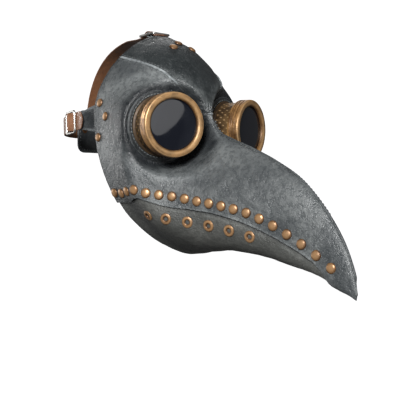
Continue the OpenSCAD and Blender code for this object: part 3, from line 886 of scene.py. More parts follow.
@dataclass
class LeatherPanels:
    """The forehead, the two cheeks with the upper beak, and the jaw."""

    shell: Shell
    seams: Seams
    finishes: Finishes
    hole_radius: float = 32.2
    pad_radius: float = 39.6
    lay_gap: float = 0.4
    seam_gap: float = 0.3
    wave_height: float = 0.7
    dent_height: float = 0.35
    crease_height: float = 0.55
    rear_run: float = 150.0
    seat_depth: float = 25.0
    # Reach of the painted shade round each socket and its extra reach at the bridge, radius of the painted
    # highlight ring round each socket, and distance from the rear edge of the band of painted shade.
    socket_soot: float = 51.0
    bridge_soot: float = 9.0
    socket_rim: float = 56.0
    rear_shadow: float = 24.0

    def relief(self, points: np.ndarray) -> np.ndarray:
        """Soft waves and dents of worked leather, kept off the goggle seats.

        Args:
            points: Places on the shell.

        Returns:
            How far each is raised.
        """
        waves = np.array([self.wave_height * noise.noise(Vector(p) * 0.032)
                          + self.dent_height * noise.noise(Vector(p) * 0.11) for p in points])
        x = points[:, 0]
        rise = points[:, 2] - self.bridge_level
        creases = np.cos(x * 2.1) * np.exp(-((np.abs(x) / 13) ** 2)) * np.exp(-((rise - 4) / 7) ** 2)
        puckers = np.cos(rise * 1.35 + x * 0.5) * np.exp(-((np.abs(x) - 9) / 6) ** 2)
        puckers = puckers * np.exp(-((rise + 2) / 12) ** 2)
        free = ease((self.shell.eye_distance(points) - 41) / 9)
        return (waves + self.crease_height * (creases + 0.7 * puckers)) * free

    @property
    def bridge_level(self) -> float:
        """Height of the seam across the bridge of the nose."""
        return float(self.shell.skin(self.seams.bridge, 0.0)[2])

    def seat(self, points: np.ndarray) -> np.ndarray:
        """Press what would rise into a goggle pad down to its seat."""
        for side, eye in self.shell.eyes.items():
            depth, away = eye.away(points)
            own = points[:, 0] * side.value >= 0
            press = ease((self.pad_radius + 3 - away) / 3) * own * np.maximum(depth, 0)
            points = points - press[:, None] * eye.axis
        return points

    def open_eyes(self, obj: bpy.types.Object) -> None:
        """Cut the round holes for the barrels out of an open sheet."""
        for eye in self.shell.eyes.values():
            points = points_of(obj)
            depth, away = eye.away(points)
            inside = (away < self.hole_radius) & (np.abs(depth) < self.seat_depth)
            if not inside.any():
                continue
            take_up(obj)
            bpy.ops.object.mode_set(mode="EDIT")
            bpy.ops.mesh.select_all(action="DESELECT")
            bpy.ops.object.mode_set(mode="OBJECT")
            obj.data.vertices.foreach_set("select", inside)
            bpy.ops.object.mode_set(mode="EDIT")
            bpy.ops.mesh.delete(type="VERT")
            bpy.ops.object.mode_set(mode="OBJECT")
            points = points_of(obj)
            depth, away = eye.away(points)
            used = np.zeros(len(points), int)
            for edge in obj.data.edges:
                used[list(edge.vertices)] += 1
            near = (used < 4) & (away < self.hole_radius + 4) & (np.abs(depth) < self.seat_depth)
            on_axis = eye.centre + depth[:, None] * eye.axis
            ring = on_axis + (points - on_axis) * (self.hole_radius / away)[:, None]
            points[near] = ring[near]
            obj.data.vertices.foreach_set("co", (points * MM).ravel())

    def panel(self, name: str, reach: tuple[float, float], low: Callable[[np.ndarray], np.ndarray],
              high: Callable[[np.ndarray], np.ndarray], counts: tuple[int, int],
              level: Callable[[np.ndarray], np.ndarray], tucked: bool = False) -> bpy.types.Object:
        """Make one panel of leather.

        Args:
            name: The new object's name.
            reach: First and last section.
            low: Degrees of the panel's one edge, by section.
            high: Degrees of its other edge.
            counts: Divisions along and across.
            level: How far the panel's face lies above the shell.
            tucked: Whether the panel goes under the cheeks at the jaw seam.

        Returns:
            The panel with its thickness.
        """
        kept: dict[str, np.ndarray] = {}

        def place(u: np.ndarray, v: np.ndarray) -> np.ndarray:
            """The panel's face."""
            t = reach[0] + (reach[1] - reach[0]) * u
            degrees = low(t) + (high(t) - low(t)) * v
            t_edge = self.shell.rear_edge(t, degrees)
            first = self.shell.skin(t_edge, degrees)
            points = self.shell.skin(t_edge, degrees, level(t) + self.relief(first))
            girth = np.abs(high(t) - low(t)) * math.radians(1) * self.shell.section(t)[:, 2]
            kept["seam"] = np.minimum(v, 1 - v) * np.maximum(girth, 1)
            kept["edge"] = u * self.rear_run
            kept["wall"] = self.shell.wall(t) / self.shell.leather
            below = np.minimum(degrees, 360 - degrees) - self.seams.at(self.seams.jaw, t)
            kept["below"] = below * math.radians(1) * np.maximum(self.shell.section(t)[:, 2], 8)
            return self.seat(points)

        obj = shaped_grid(name, *counts, place)
        self.paint_wear(obj, kept["edge"], kept["seam"], kept["below"] if tucked else None)
        self.turn_outwards(obj)
        group = obj.vertex_groups.new(name="wall")
        for index, weight in enumerate(kept["wall"]):
            group.add([index], float(weight), "REPLACE")
        self.open_eyes(obj)
        apply_modifier(obj, "SOLIDIFY", thickness=self.shell.leather * MM, offset=-1.0,
                       vertex_group="wall", material_offset=1, use_rim=True)
        apply_modifier(obj, "BEVEL", width=0.55 * MM, segments=2, limit_method="ANGLE",
                       angle_limit=math.radians(55))
        smooth(obj, 50)
        return obj

    def paint_wear(self, obj: bpy.types.Object, edge: np.ndarray, seam: np.ndarray,
                   below: np.ndarray | None) -> None:
        """Rub the edges pale, darken the rear edge, and paint light and shade: a highlight ring round each
        socket, a shadow and a highlight line below the jaw seam, and shade round the goggles, at the bridge
        and in a band near the rear edge.

        Args:
            obj: The panel.
            edge: Distance of each point from the mask's rear edge.
            seam: Its distance from the panel's sewn edges.
            below: Its distance below the jaw seam, on the panel that goes under it.
        """
        points = points_of(obj)
        away = self.shell.eye_distance(points)
        grain = np.array([noise.noise(Vector(p) * 0.09) for p in points])
        # Painted highlight: a pale ring round each socket's rim.
        rim = np.exp(-((away - self.socket_rim) / 6.0) ** 2) * 0.3
        rubbed = 0.3 * np.exp(-seam / 1.2)
        # Painted shade: dark round each goggle, reaching further at the bridge; a band of painted shade near
        # the rear edge, low on the cheek; and a darker rear edge.
        socket = self.socket_soot + self.bridge_soot * np.exp(-(points[:, 0] / 22) ** 2)
        soot = 0.95 * ease((socket - away + 4 * grain) / 9)
        rear_band_shade = np.exp(-((edge - self.rear_shadow) / 13) ** 2) * ease((-points[:, 2] - 25) / 20)
        soot = np.maximum(soot, 0.55 * rear_band_shade + 0.8 * np.exp(-edge / 1.8))
        # On the jaw, a painted shadow under the cheeks' edge, and a painted highlight line just below it.
        if below is not None:
            soot = np.maximum(soot, 0.95 * np.exp(-(np.maximum(below, 0) / 1.8) ** 2))
            rubbed = rubbed + 0.35 * np.exp(-((below - 4.2) / 1.2) ** 2) * (grain + 0.7)
        paint(obj, "wear", rubbed + 0.15 * np.exp(-seam / 9) * (grain + 0.4) + rim)
        paint(obj, "soot", soot)

    @staticmethod
    def turn_outwards(obj: bpy.types.Object) -> None:
        """Turn an open sheet so that its faces look away from the middle plane."""
        lean = sum(face.normal.x * face.center.x * face.area for face in obj.data.polygons)
        if lean < 0:
            obj.data.flip_normals()

    def build(self) -> list[bpy.types.Object]:
        """Make, dress and fit all four panels."""
        at = self.seams.at
        shell = self.shell

        def spread(t: np.ndarray) -> np.ndarray:
            """Degrees that the seam gap takes at a section."""
            return np.degrees(self.seam_gap / np.maximum(shell.section(t)[:, 2], 4))

        def under_cheek(t: np.ndarray) -> np.ndarray:
            """Level of the jaw's face below the cheek's."""
            return -shell.wall(t) - self.lay_gap

        forehead = self.panel(
            "forehead_leather", (0.0, self.seams.bridge),
            low=lambda t: -at(self.seams.brow, t) + spread(t),
            high=lambda t: at(self.seams.brow, t) - spread(t),
            counts=(84, 72), level=lambda t: 0 * t)
        dress(forehead, self.finishes.brow, self.finishes.flesh)
        made = [(forehead, ["forehead_panel"])]
        for side in Side:
            s = side.value
            cheek = self.panel(
                f"{side.word}_cheek_leather", (0.0, float(shell.tip)),
                low=lambda t: s * (at(self.seams.brow, t) + spread(t)),
                high=lambda t: s * at(self.seams.jaw, t),
                counts=(200, 88), level=lambda t: 0 * t)
            dress(cheek, self.finishes.cheek, self.finishes.flesh)
            made.append((cheek, [f"{side.word}_face_panel"]))
        jaw = self.panel(
            "jaw_leather", (0.0, self.seams.jaw_end),
            low=lambda t: at(self.seams.rivets, t) - self.seams.jaw_lap,
            high=lambda t: 360 - at(self.seams.rivets, t) + self.seams.jaw_lap,
            counts=(150, 90), level=under_cheek, tucked=True)
        dress(jaw, self.finishes.jaw, self.finishes.flesh)
        made.append((jaw, [f"{side.word}_jaw_panel" for side in Side]))
        for obj, nodes in made:
            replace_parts(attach(obj, "mask"), *nodes)
        return [obj for obj, nodes in made]


@dataclass
class Welts:
    """Raised piping over the seams, with the thread beside it."""

    shell: Shell
    seams: Seams
    finishes: Finishes
    width: float = 3.3
    height: float = 1.5
    bed: float = 0.4
    bridge_reach: float = 9.0
    thread_off: float = 3.3
    stitched_to: float = 10.2

    def piping(self, name: str, run: Run, divisions: int, rub: float) -> bpy.types.Object:
        """A half-round welt along a line, tapered at its ends.

        Args:
            name: The new object's name.
            run: The line.
            divisions: Steps along it.
            rub: How far its crest is rubbed pale.

        Returns:
            The welt.
        """

        def place(u: np.ndarray, v: np.ndarray) -> np.ndarray:
            """The welt's skin."""
            distance = u * run.length
            point, out, ahead = run.frames(distance)
            turn = 2 * np.pi * v
            taper = 0.25 + 0.75 * ease(np.minimum(distance, run.length - distance) / 5)
            puckers = 1 + 0.06 * np.sin(distance * 1.5)
            aside = np.cos(turn) * self.width / 2 * taper
            rise = np.where(np.sin(turn) > 0, self.height * taper * puckers, self.bed) * np.sin(turn)
            return point + np.cross(out, ahead) * aside[:, None] + out * rise[:, None]

        obj = shaped_grid(name, divisions, 14, place)
        clean(obj)
        crest = np.array([noise.noise(Vector(p) * 0.2) for p in points_of(obj)])
        paint(obj, "wear", rub * (1 + 0.6 * crest))
        smooth(obj, 60)
        dress(obj, self.finishes.trim)
        return obj

    def build(self) -> list[bpy.types.Object]:
        """Make and fit all welts and their stitches."""
        at = self.seams.at
        made: list[bpy.types.Object] = []
        for side in Side:
            run = Run(self.shell, lambda t, s=side.value: (t, s * at(self.seams.brow, t)),
                      0.0, self.seams.brow_end)
            welt = self.piping(f"{side.word}_brow_piping", run, divisions=90, rub=0.75)
            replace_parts(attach(welt, "mask"), f"{side.word}_forehead_welt")
            thread = stitch_row(f"{side.word}_brow_stitches",
                                [(run, self.thread_off, 0.15), (run, -self.thread_off, 0.15)])
            made += [welt, thread]
        across = Run(self.shell, lambda a: (0 * a + self.seams.bridge + 0.07, a),
                     -self.bridge_reach, self.bridge_reach)
        bridge = self.piping("bridge_piping", across, divisions=24, rub=0.5)
        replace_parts(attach(bridge, "mask"), "bridge_welt")
        ridge_from = self.seams.below_bridge + 0.2
        ridge_run = Run(self.shell, lambda t: (t, 0 * t), ridge_from, self.shell.tip - 0.5)
        ridge = self.piping("beak_piping", ridge_run, divisions=170, rub=0.12)
        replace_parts(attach(ridge, "mask"), "beak_welt")
        stitched = Run(self.shell, lambda t: (t, 0 * t), ridge_from, self.stitched_to)
        ridge_thread = stitch_row("beak_stitches",
                                  [(stitched, self.thread_off, 0.0), (stitched, -self.thread_off, 0.0)])
        made += [bridge, ridge, ridge_thread]
        for obj in made:
            if obj.name.endswith("stitches"):
                dress_thread(obj, 0.35, self.finishes.seam_thread)
                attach(obj, "mask")
        return made


# ---------------------------------------------------------------------------
# Goggles
# ---------------------------------------------------------------------------


@dataclass
class Goggle:
    """One eye: a padded ring, a barrel with raised studs, a smoked lens and a screw-on bezel."""

    side: Side
    eye: Eye
    finishes: Finishes
    barrel_radius: float = 31.5
    barrel_wall: float = 3.0
    barrel_length: float = 31.0
    barrel_tail: float = 7.0
    pad_radius: float = 39.0
    pad_thickness: float = 3.0
    flange: float = 2.2
    flange_height: float = 1.6
    gasket_height: float = 1.5
    lens_thickness: float = 2.5
    lens_dome: float = 1.2
    bezel_length: float = 14.0
    bezel_wall: float = 3.2
    screw_clearance: float = 0.3
    stud_rows: tuple[float, ...] = (8.6, 13.4, 18.2, 23.0)
    studs_a_row: int = 30
    puckers: int = 46
    stitches: int = 56
    thread_out: float = 3.6
    groove_depth: float = 0.7
    grooves: tuple[float, ...] = (3.1, 5.4, 9.0)

    @property
    def bezel_radius(self) -> float:
        """Outer radius of the bezel."""
        return self.barrel_radius + self.screw_clearance + self.bezel_wall

    @property
    def bezel_front(self) -> float:
        """Height of the bezel's front face above the seat."""
        return self.lip_from + 3.9

    @property
    def lip_from(self) -> float:
        """Height at which the bezel's lip begins, just in front of the lens."""
        return self.barrel_length + self.gasket_height + self.lens_thickness + 0.3

    @property
    def opening(self) -> float:
        """Radius of the bezel's opening."""
        return self.barrel_radius - self.barrel_wall - 1

    def seated(self, obj: bpy.types.Object, wear: Callable[[np.ndarray, np.ndarray], np.ndarray],
               soot: Callable[[np.ndarray, np.ndarray], np.ndarray]) -> bpy.types.Object:
        """Paint a turned piece by radius and height, then set it down on the eye.

        Args:
            obj: The piece, still round the origin.
            wear: How rubbed it is, from radius and height.
            soot: How dark it is painted, from radius and height: dark wash in the bronze's hollows, and
                painted shade on the pad next to the barrel.

        Returns:
            The same piece.
        """
        points = points_of(obj)
        radius = np.hypot(points[:, 0], points[:, 1])
        paint(obj, "wear", wear(radius, points[:, 2]))
        paint(obj, "soot", soot(radius, points[:, 2]))
        return set_down(obj, self.eye.place())

    def pad(self) -> bpy.types.Object:
        """The stuffed leather ring, puckered by its thread."""
        inner, outer, top = self.barrel_radius + 0.1, self.pad_radius, self.pad_thickness
        middle, half = (inner + outer) / 2, (outer - inner) / 2
        section = [(middle + half * math.copysign(abs(math.cos(a)) ** 0.75, math.cos(a)),
                    0.1 + (top - 0.1) * max(0.0, math.sin(a)) ** 0.6)
                   for a in np.linspace(0, math.pi, 15)]
        obj = turned(f"{self.side.word}_goggle_padding", section, 168)
        points = points_of(obj)
        round_it = np.arctan2(points[:, 1], points[:, 0])
        crown = points[:, 2] / top
        pucker = 0.5 + 0.5 * np.cos(round_it * self.puckers + np.sin(round_it * 5) * 2)
        points[:, 2] -= crown * pucker * 0.35
        points[:, :2] *= (1 + crown * pucker * 0.004)[:, None]
        obj.data.vertices.foreach_set("co", (points * MM).ravel())
        apply_modifier(obj, "SUBSURF", levels=1, render_levels=1)
        smooth(obj, 70)
        # Painted shade: the pad darkens next to the barrel's foot.
        self.seated(obj, lambda r, h: 0.5 * ease((r - outer + 1.2) / 1.2) * (h > 1),
                    lambda r, h: 0.75 * ease((inner + 4 - r) / 3))
        dress(obj, self.finishes.padding)
        return obj

    def pad_thread(self) -> bpy.types.Object:
        """The pale ring of stitches near the barrel's foot."""
        eye = self.eye.place()
        foot = Matrix.Translation((0, self.barrel_radius + self.thread_out, self.pad_thickness + 0.05))
        places = [eye @ Matrix.Rotation(2 * math.pi * k / self.stitches, 4, "Z") @ foot
                  for k in range(self.stitches)]
        thread = copies(bead((2.9, 0.8, 0.7)), places, f"{self.side.word}_goggle_stitches")
        dress_thread(thread, 0.5, self.finishes.thread)
        return thread

    def barrel(self) -> bpy.types.Object:
        """The tube, its foot flange and its staggered studs."""
        bore, outer = self.barrel_radius - self.barrel_wall, self.barrel_radius
        foot = self.pad_thickness + 0.1
        top = foot + self.flange_height
        lip = outer + self.flange
        tube = turned(f"{self.side.word}_barrel_tube", [
            (bore, -self.barrel_tail), (bore + 0.6, -self.barrel_tail - 0.3),
            (outer - 0.3, -self.barrel_tail), (outer, -self.barrel_tail + 0.4), (outer, foot),
            (lip - 0.4, foot), (lip, foot + 0.4), (lip, top - 0.5), (lip - 0.5, top),
            (outer + 0.9, top + 0.1), (outer, top + 0.8), (outer - 0.35, top + 1.5), (outer, top + 2.0),
            (outer, self.barrel_length - 0.4), (outer - 0.4, self.barrel_length),
            (bore + 0.4, self.barrel_length), (bore, self.barrel_length - 0.4)], 128)
        smooth(tube, 40)
        stud = bead((1.25, 0.55, 1.75), 1.0, segments=10, rings=8)
        smooth(stud, 80)
        places = []
        for row, height in enumerate(self.stud_rows):
            for k in range(self.studs_a_row):
                turn = Matrix.Rotation(2 * math.pi * (k + row % 2 / 2) / self.studs_a_row, 4, "Z")
                places.append(turn @ Matrix.Translation((0, outer - 0.1, height)))
        studs = copies(stud, places, f"{self.side.word}_barrel_studs")
        obj = join([tube, studs], f"{self.side.word}_studded_barrel")
        self.seated(obj, lambda r, h: ease((r - outer - 0.15) / 0.4) * np.where(h > top + 1, 0.8, 0.1),
                    lambda r, h: 0.9 * ease((top + 3 - h) / 3) * (r < lip - 0.35))
        dress(obj, self.finishes.barrel)
        return obj

    def lens(self) -> bpy.types.Object:
        """The domed lens with its flat rim."""
        back = self.barrel_length + self.gasket_height
        face = back + self.lens_thickness
        rim, dome = self.barrel_radius - 0.4, self.opening - 0.4
        sweep = [(dome * math.cos(a), face + self.lens_dome * math.sin(a))
                 for a in np.linspace(0, math.pi / 2, 18)]
        obj = turned(f"{self.side.word}_lens_glass",
                     [(0, back), (rim - 0.3, back), (rim, back + 0.3), (rim, face - 0.3),
                      (rim - 0.3, face), *sweep], 128)
        smooth(obj, 35)
        self.seated(obj, lambda r, h: 0 * r, lambda r, h: 0 * r)
        dress(obj, self.finishes.lens)
        return obj

    def bezel(self) -> bpy.types.Object:
        """The screw-on ring, with grooves round its side and a bevelled lip."""
        bore = self.barrel_radius + self.screw_clearance
        outer, front = self.bezel_radius, self.bezel_front
        back = front - self.bezel_length
        depth = self.groove_depth
        profile = [(bore, back), (bore + 0.4, back - 0.05), (outer - 0.7, back), (outer - 0.2, back + 0.2),
                   (outer, back + 0.7)]
        for groove in self.grooves:
            middle = back + groove
            profile += [(outer, middle - 0.75), (outer - depth * 0.8, middle - 0.4), (outer - depth, middle),
                        (outer - depth * 0.8, middle + 0.4), (outer, middle + 0.75)]
        profile += [(outer, front - 1.8), (outer - 0.3, front - 0.9), (outer - 1.0, front - 0.2),
                    (outer - 1.8, front), (self.opening + 2.6, front), (self.opening + 1.7, front - 0.35),
                    (self.opening + 0.3, front - 1.5), (self.opening, front - 2.0),
                    (self.opening, self.lip_from + 0.05), (bore, self.lip_from + 0.05)]
        obj = turned(f"{self.side.word}_bezel_ring", profile, 144)
        smooth(obj, 32)
        self.seated(
            obj,
            lambda r, h: 0.55 * np.exp(-((r - outer + 0.9) / 0.7) ** 2) * (h > front - 1.6)
            + 0.5 * np.exp(-((r - self.opening - 2.2) / 0.7) ** 2) * (h > front - 1),
            lambda r, h: 0.8 * ease((outer - r - 0.25) / 0.4) * (h < front - 3)
            + 0.7 * ease((self.opening + 0.6 - r) / 0.5))
        dress(obj, self.finishes.bezel)
        return obj

    def build(self, nodes: dict[str, bpy.types.Object]) -> list[bpy.types.Object]:
        """Make and fit the goggle's pieces, and dress the CAD nodes hidden inside it."""
        word = self.side.word
        pad, thread, barrel = self.pad(), self.pad_thread(), self.barrel()
        lens, bezel = self.lens(), self.bezel()
        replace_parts(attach(pad, "mask"), f"{word}_goggle_pad")
        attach(thread, "mask")
        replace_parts(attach(barrel, "mask"), f"{word}_barrel")
        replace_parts(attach(lens, f"{word}_lens_carrier"), f"{word}_lens")
        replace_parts(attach(bezel, f"{word}_screw_ring"), f"{word}_bezel")
        dress(nodes[f"{word}_lens_gasket"], self.finishes.rubber)
        dress(nodes[f"{word}_clamp_ring"], self.finishes.foot)
        return [pad, thread, barrel, lens, bezel]


# ---------------------------------------------------------------------------
# Rivets and eyelets
# ---------------------------------------------------------------------------


@dataclass
class Studs:
    """Domed rivets and flanged eyelets, each modelled once and copied along its line."""

    shell: Shell
    seams: Seams
    finishes: Finishes
    head: float = 11.0
    dome: float = 2.6
    shank: float = 1.5
    washer: float = 3.4
    washer_height: float = 0.8
    rivet_count: int = 19
    rivet_start: float = 7.0
    rivet_pitch: float = 14.9
    crowding: float = 0.42
    crowding_from: int = 11
    eyelet_count: int = 6
    eyelet_start: float = 39.0
    eyelet_pitch: float = 25.0
    eyelet_flange: float = 12.5
    eyelet_hole: float = 4.5
    lay_gap: float = 0.4
    tab: float = 1.8
    tab_sag: float = 2.3
    row_end: float = 12.9
    temple_spots: Line = ((0.45, 78), (0.95, 86.5), (0.5, 94))
    crown_spots: Line = ((0.75, 0), (1.05, 10), (1.05, -10))

    def rivet(self, head: float, grip: float) -> bpy.types.Object:
        """One rivet: a dome with a rolled foot, a shank and the washer inside.

        Args:
            head: Diameter of the dome.
            grip: Thickness of leather that it holds.

        Returns:
            The rivet, with its foot at z = 0.
        """
        edge = head / 2
        dome = [(edge * math.cos(a) ** 0.9 if a < 1.5 else 0.0, 0.45 + (self.dome - 0.45) * math.sin(a))
                for a in np.linspace(0, math.pi / 2, 9)]
        low = -grip - self.washer_height
        obj = turned("rivet", [(0, low), (self.washer - 0.2, low), (self.washer, low + 0.2),
                               (self.washer, -grip - 0.15), (self.shank, -grip - 0.05), (self.shank, -0.05),
                               (edge - 0.35, -0.05), (edge, 0.12), *dome], 26)
        points = points_of(obj)
        paint(obj, "wear", 0.6 * ease((points[:, 2] - 1.3) / 1.6))
        # Painted shade: the dome darkens towards its foot, where it meets the leather.
        paint(obj, "soot", 0.9 * ease((1.3 - points[:, 2]) / 1.1))
        smooth(obj, 40)
        return obj

    def eyelet(self) -> bpy.types.Object:
        """One eyelet: a rolled flange outside, a tube and a washer inside."""
        hole, rim, leather = self.eyelet_hole / 2, self.eyelet_flange / 2, self.shell.leather
        low = -leather - self.washer_height
        obj = turned("eyelet", [
            (hole, low), (rim - 1.5, low), (rim - 1.5, -leather), (hole + 0.9, -leather + 0.05),
            (hole + 0.9, 0.0), (rim - 0.2, 0.0), (rim, 0.25), (rim - 0.15, 0.7), (rim - 0.9, 1.1),
            (rim - 1.9, 1.4), (hole + 1.3, 1.45), (hole + 0.6, 1.25), (hole + 0.15, 0.8), (hole, 0.2)], 32)
        points = points_of(obj)
        radius = np.hypot(points[:, 0], points[:, 1])
        paint(obj, "wear", 0.6 * np.exp(-((radius - rim + 1.6) / 1.0) ** 2) * (points[:, 2] > 0.6))
        # Painted shade: the tube's inside is darkened so the hole reads dark, and the parts below the
        # leather's face are darker too.
        paint(obj, "soot", 0.95 * ease((hole + 1.1 - radius) / 0.9) + 0.5 * ease((0.4 - points[:, 2]) / 0.4))
        smooth(obj, 40)
        return obj

    def fit(self, obj: bpy.types.Object, node: str) -> bpy.types.Object:
        """Dress a group of studs and let it stand for its node."""
        dress(obj, self.finishes.copper)
        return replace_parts(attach(obj, "mask"), node)

    def on_spots(self, spots: Line, name: str, node: str, grip: float, head: float) -> bpy.types.Object:
        """Rivets at single places on the shell, each turned a little differently."""
        places = []
        for t, angle in spots:
            here, way = np.array([t]), np.array([angle])
            places.append(stand(self.shell.skin(here, way)[0], self.shell.normal(here, way)[0],
                                (0.2 + t, -1, 0.3)))
        return self.fit(copies(self.rivet(head, grip), places, name), node)

    def row(self, side: Side, line: Line) -> Run:
        """A row's line on one side, measured from the rear edge of the leather."""
        s = side.value
        start = self.shell.rear_edge(np.array([0.0]), np.array([s * line[0][1]]))
        return Run(self.shell, lambda t: (t, s * self.seams.at(line, t)), float(start[0]), self.row_end)

    def build(self) -> list[bpy.types.Object]:
        """Make and fit the rivet rows, the eyelet rows and the single rivets."""
        leather = self.shell.leather
        rivets_at = [self.rivet_start + self.rivet_pitch * k
                     + self.crowding * max(0, k - self.crowding_from) ** 2 for k in range(self.rivet_count)]
        eyelets_at = [self.eyelet_start + self.eyelet_pitch * k for k in range(self.eyelet_count)]
        made = []
        for side in Side:
            word = side.word
            places = self.row(side, self.seams.rivets).places(rivets_at)
            rivet = self.rivet(self.head, 2 * leather + self.lay_gap)
            made.append(self.fit(copies(rivet, places, f"{word}_jaw_studs"), f"{word}_jaw_rivets"))
            places = self.row(side, self.seams.eyelets).places(eyelets_at, lift=-leather - self.lay_gap)
            made.append(self.fit(copies(self.eyelet(), places, f"{word}_jaw_eyelets"), f"{word}_eyelets"))
            made.append(self.on_spots([(t, side.value * angle) for t, angle in self.temple_spots],
                                      f"{word}_temple_studs", f"{word}_temple_rivets",
                                      leather + self.tab + self.tab_sag, self.head - 1))
        made.append(self.on_spots(self.crown_spots, "crown_studs", "crown_rivets",
                                  leather + self.tab + self.lay_gap, self.head - 1))
        return made


# ---------------------------------------------------------------------------
# Harness
# ---------------------------------------------------------------------------


@dataclass(frozen=True)
class Plane:
    """A plane in which a strap is drawn: along it, outwards from the head, and across its width."""

    origin: np.ndarray
    along: np.ndarray
    outwards: np.ndarray
    across: np.ndarray

    def point(self, a: np.ndarray, b: np.ndarray, c: np.ndarray | float = 0.0) -> np.ndarray:
        """Points of the mask's frame for drawn ones."""
        parts = zip(np.broadcast_arrays(a, b, c), (self.along, self.outwards, self.across))
        return self.origin + sum(np.asarray(part)[..., None] * way for part, way in parts)

    def drawn(self, point: Sequence[float]) -> tuple[float, float]:
        """Where a point of the mask's frame lies in the drawing."""
        rel = np.asarray(point) - self.origin
        return float(rel @ self.along), float(rel @ self.outwards)

    def turned_at(self, point: Sequence[float], degrees: float) -> "Plane":
        """The plane of a buckle that lies at a point, turned in the drawing."""
        c, s = math.cos(math.radians(degrees)), math.sin(math.radians(degrees))
        return Plane(np.asarray(point, float), c * self.along + s * self.outwards,
                     c * self.outwards - s * self.along, self.across)


def flowing(points: Sequence[Sequence[float]], step: float = 1.3) -> np.ndarray:
    """Even points on a smooth curve through a drawn path."""
    path = np.asarray(points, float)
    ends = led_on(path)
    fine = [on_curve(*four, f) for four in zip(ends, ends[1:], ends[2:], ends[3:])
            for f in np.linspace(0, 1, 12, endpoint=False)]
    fine = np.array(fine + [path[-1]])
    lengths = np.concatenate([[0], np.cumsum(np.linalg.norm(np.diff(fine, axis=0), axis=1))])
    even = np.linspace(0, lengths[-1], max(4, int(lengths[-1] / step)))
    return np.stack([np.interp(even, lengths, fine[:, k]) for k in range(2)], -1)


def ribbon(name: str, plane: Plane, path: np.ndarray, width: Callable[[np.ndarray, float], np.ndarray],
           thickness: float) -> bpy.types.Object:
    """A flat strap with rounded edges that follows a drawn path.

    Args:
        name: The new object's name.
        plane: The plane of the drawing.
        path: The strap's middle line.
        width: Gives the width at distances along a strap of some length.
        thickness: Thickness of the leather.

    Returns:
        The strap, painted with dark rubbed edges.
    """
    lengths = np.concatenate([[0], np.cumsum(np.linalg.norm(np.diff(path, axis=0), axis=1))])
    tangent = unit(np.gradient(path, axis=0))
    sides = 28
    kept: dict[str, np.ndarray] = {}

    def place(u: np.ndarray, v: np.ndarray) -> np.ndarray:
        """The strap's skin, wrapped round its middle line."""
        at = u * lengths[-1]
        a, b = (np.interp(at, lengths, path[:, k]) for k in range(2))
        ta, tb = (np.interp(at, lengths, tangent[:, k]) for k in range(2))
        turn = 2 * np.pi * v
        across, up = flat_oval(turn)
        wide = width(at, lengths[-1])
        x = across * wide / 2
        up = up * thickness / 2
        from_edge = wide / 2 - np.abs(x)
        crease = 0.16 * np.exp(-((from_edge - 2.2) / 0.45) ** 2) * np.sign(np.sin(turn))
        kept["edge"] = np.exp(-from_edge / 0.8) + 0.5 * np.exp(-((from_edge - 2.2) / 0.5) ** 2)
        kept["end"] = np.minimum(at, lengths[-1] - at)
        return plane.point(a - tb * (up - crease), b + ta * (up - crease), x)

    obj = shaped_grid(name, len(path) - 1, sides, place)
    paint(obj, "wear", 0.7 * kept["edge"] + 0.5 * np.exp(-kept["end"] / 1.2))
    clean(obj)
    smooth(obj, 55)
    return obj


def rod_frame(name: str, plane: Plane, half_length: float, half_width: float, rod: float,
              corner: float = 2.6) -> bpy.types.Object:
    """A slide buckle of round rod: a frame with soft corners and a middle bar.

    Args:
        name: The new object's name.
        plane: The buckle's plane.
        half_length: From the middle bar to an outer bar.
        half_width: From the middle line to a side rod.
        rod: Radius of the rod.
        corner: Radius of the corners, along the rod's middle.

    Returns:
        The buckle.
    """
    loop = []
    for a_sign, c_sign, first in ((1, 1, 0), (-1, 1, 90), (-1, -1, 180), (1, -1, 270)):
        for turn in np.radians(np.linspace(first, first + 90, 7)):
            loop.append((a_sign * (half_length - corner) + corner * math.cos(turn),
                         c_sign * (half_width - corner) + corner * math.sin(turn)))
    curve = bpy.data.curves.new(name, "CURVE")
    curve.dimensions = "3D"
    curve.bevel_depth = rod * MM
    curve.bevel_resolution = 5
    curve.use_fill_caps = True
    for points, ring in ((loop, True), ([(0, -half_width), (0, half_width)], False)):
        spline = curve.splines.new("POLY")
        spline.points.add(len(points) - 1)
        spline.use_cyclic_u = ring
        for spot, (a, c) in zip(spline.points, points):
            spot.co = (*(plane.point(a, 0.0, c) * MM), 1)
    obj = bpy.data.objects.new(name, curve)
    bpy.context.scene.collection.objects.link(obj)
    take_up(obj)
    bpy.ops.object.convert(target="MESH")
    obj = bpy.context.active_object
    grain = np.array([noise.noise(Vector(p) * 0.35) for p in points_of(obj)])
    paint(obj, "wear", 0.45 + grain)
    paint(obj, "soot", 0.35 - grain)
    smooth(obj, 60)
    return obj


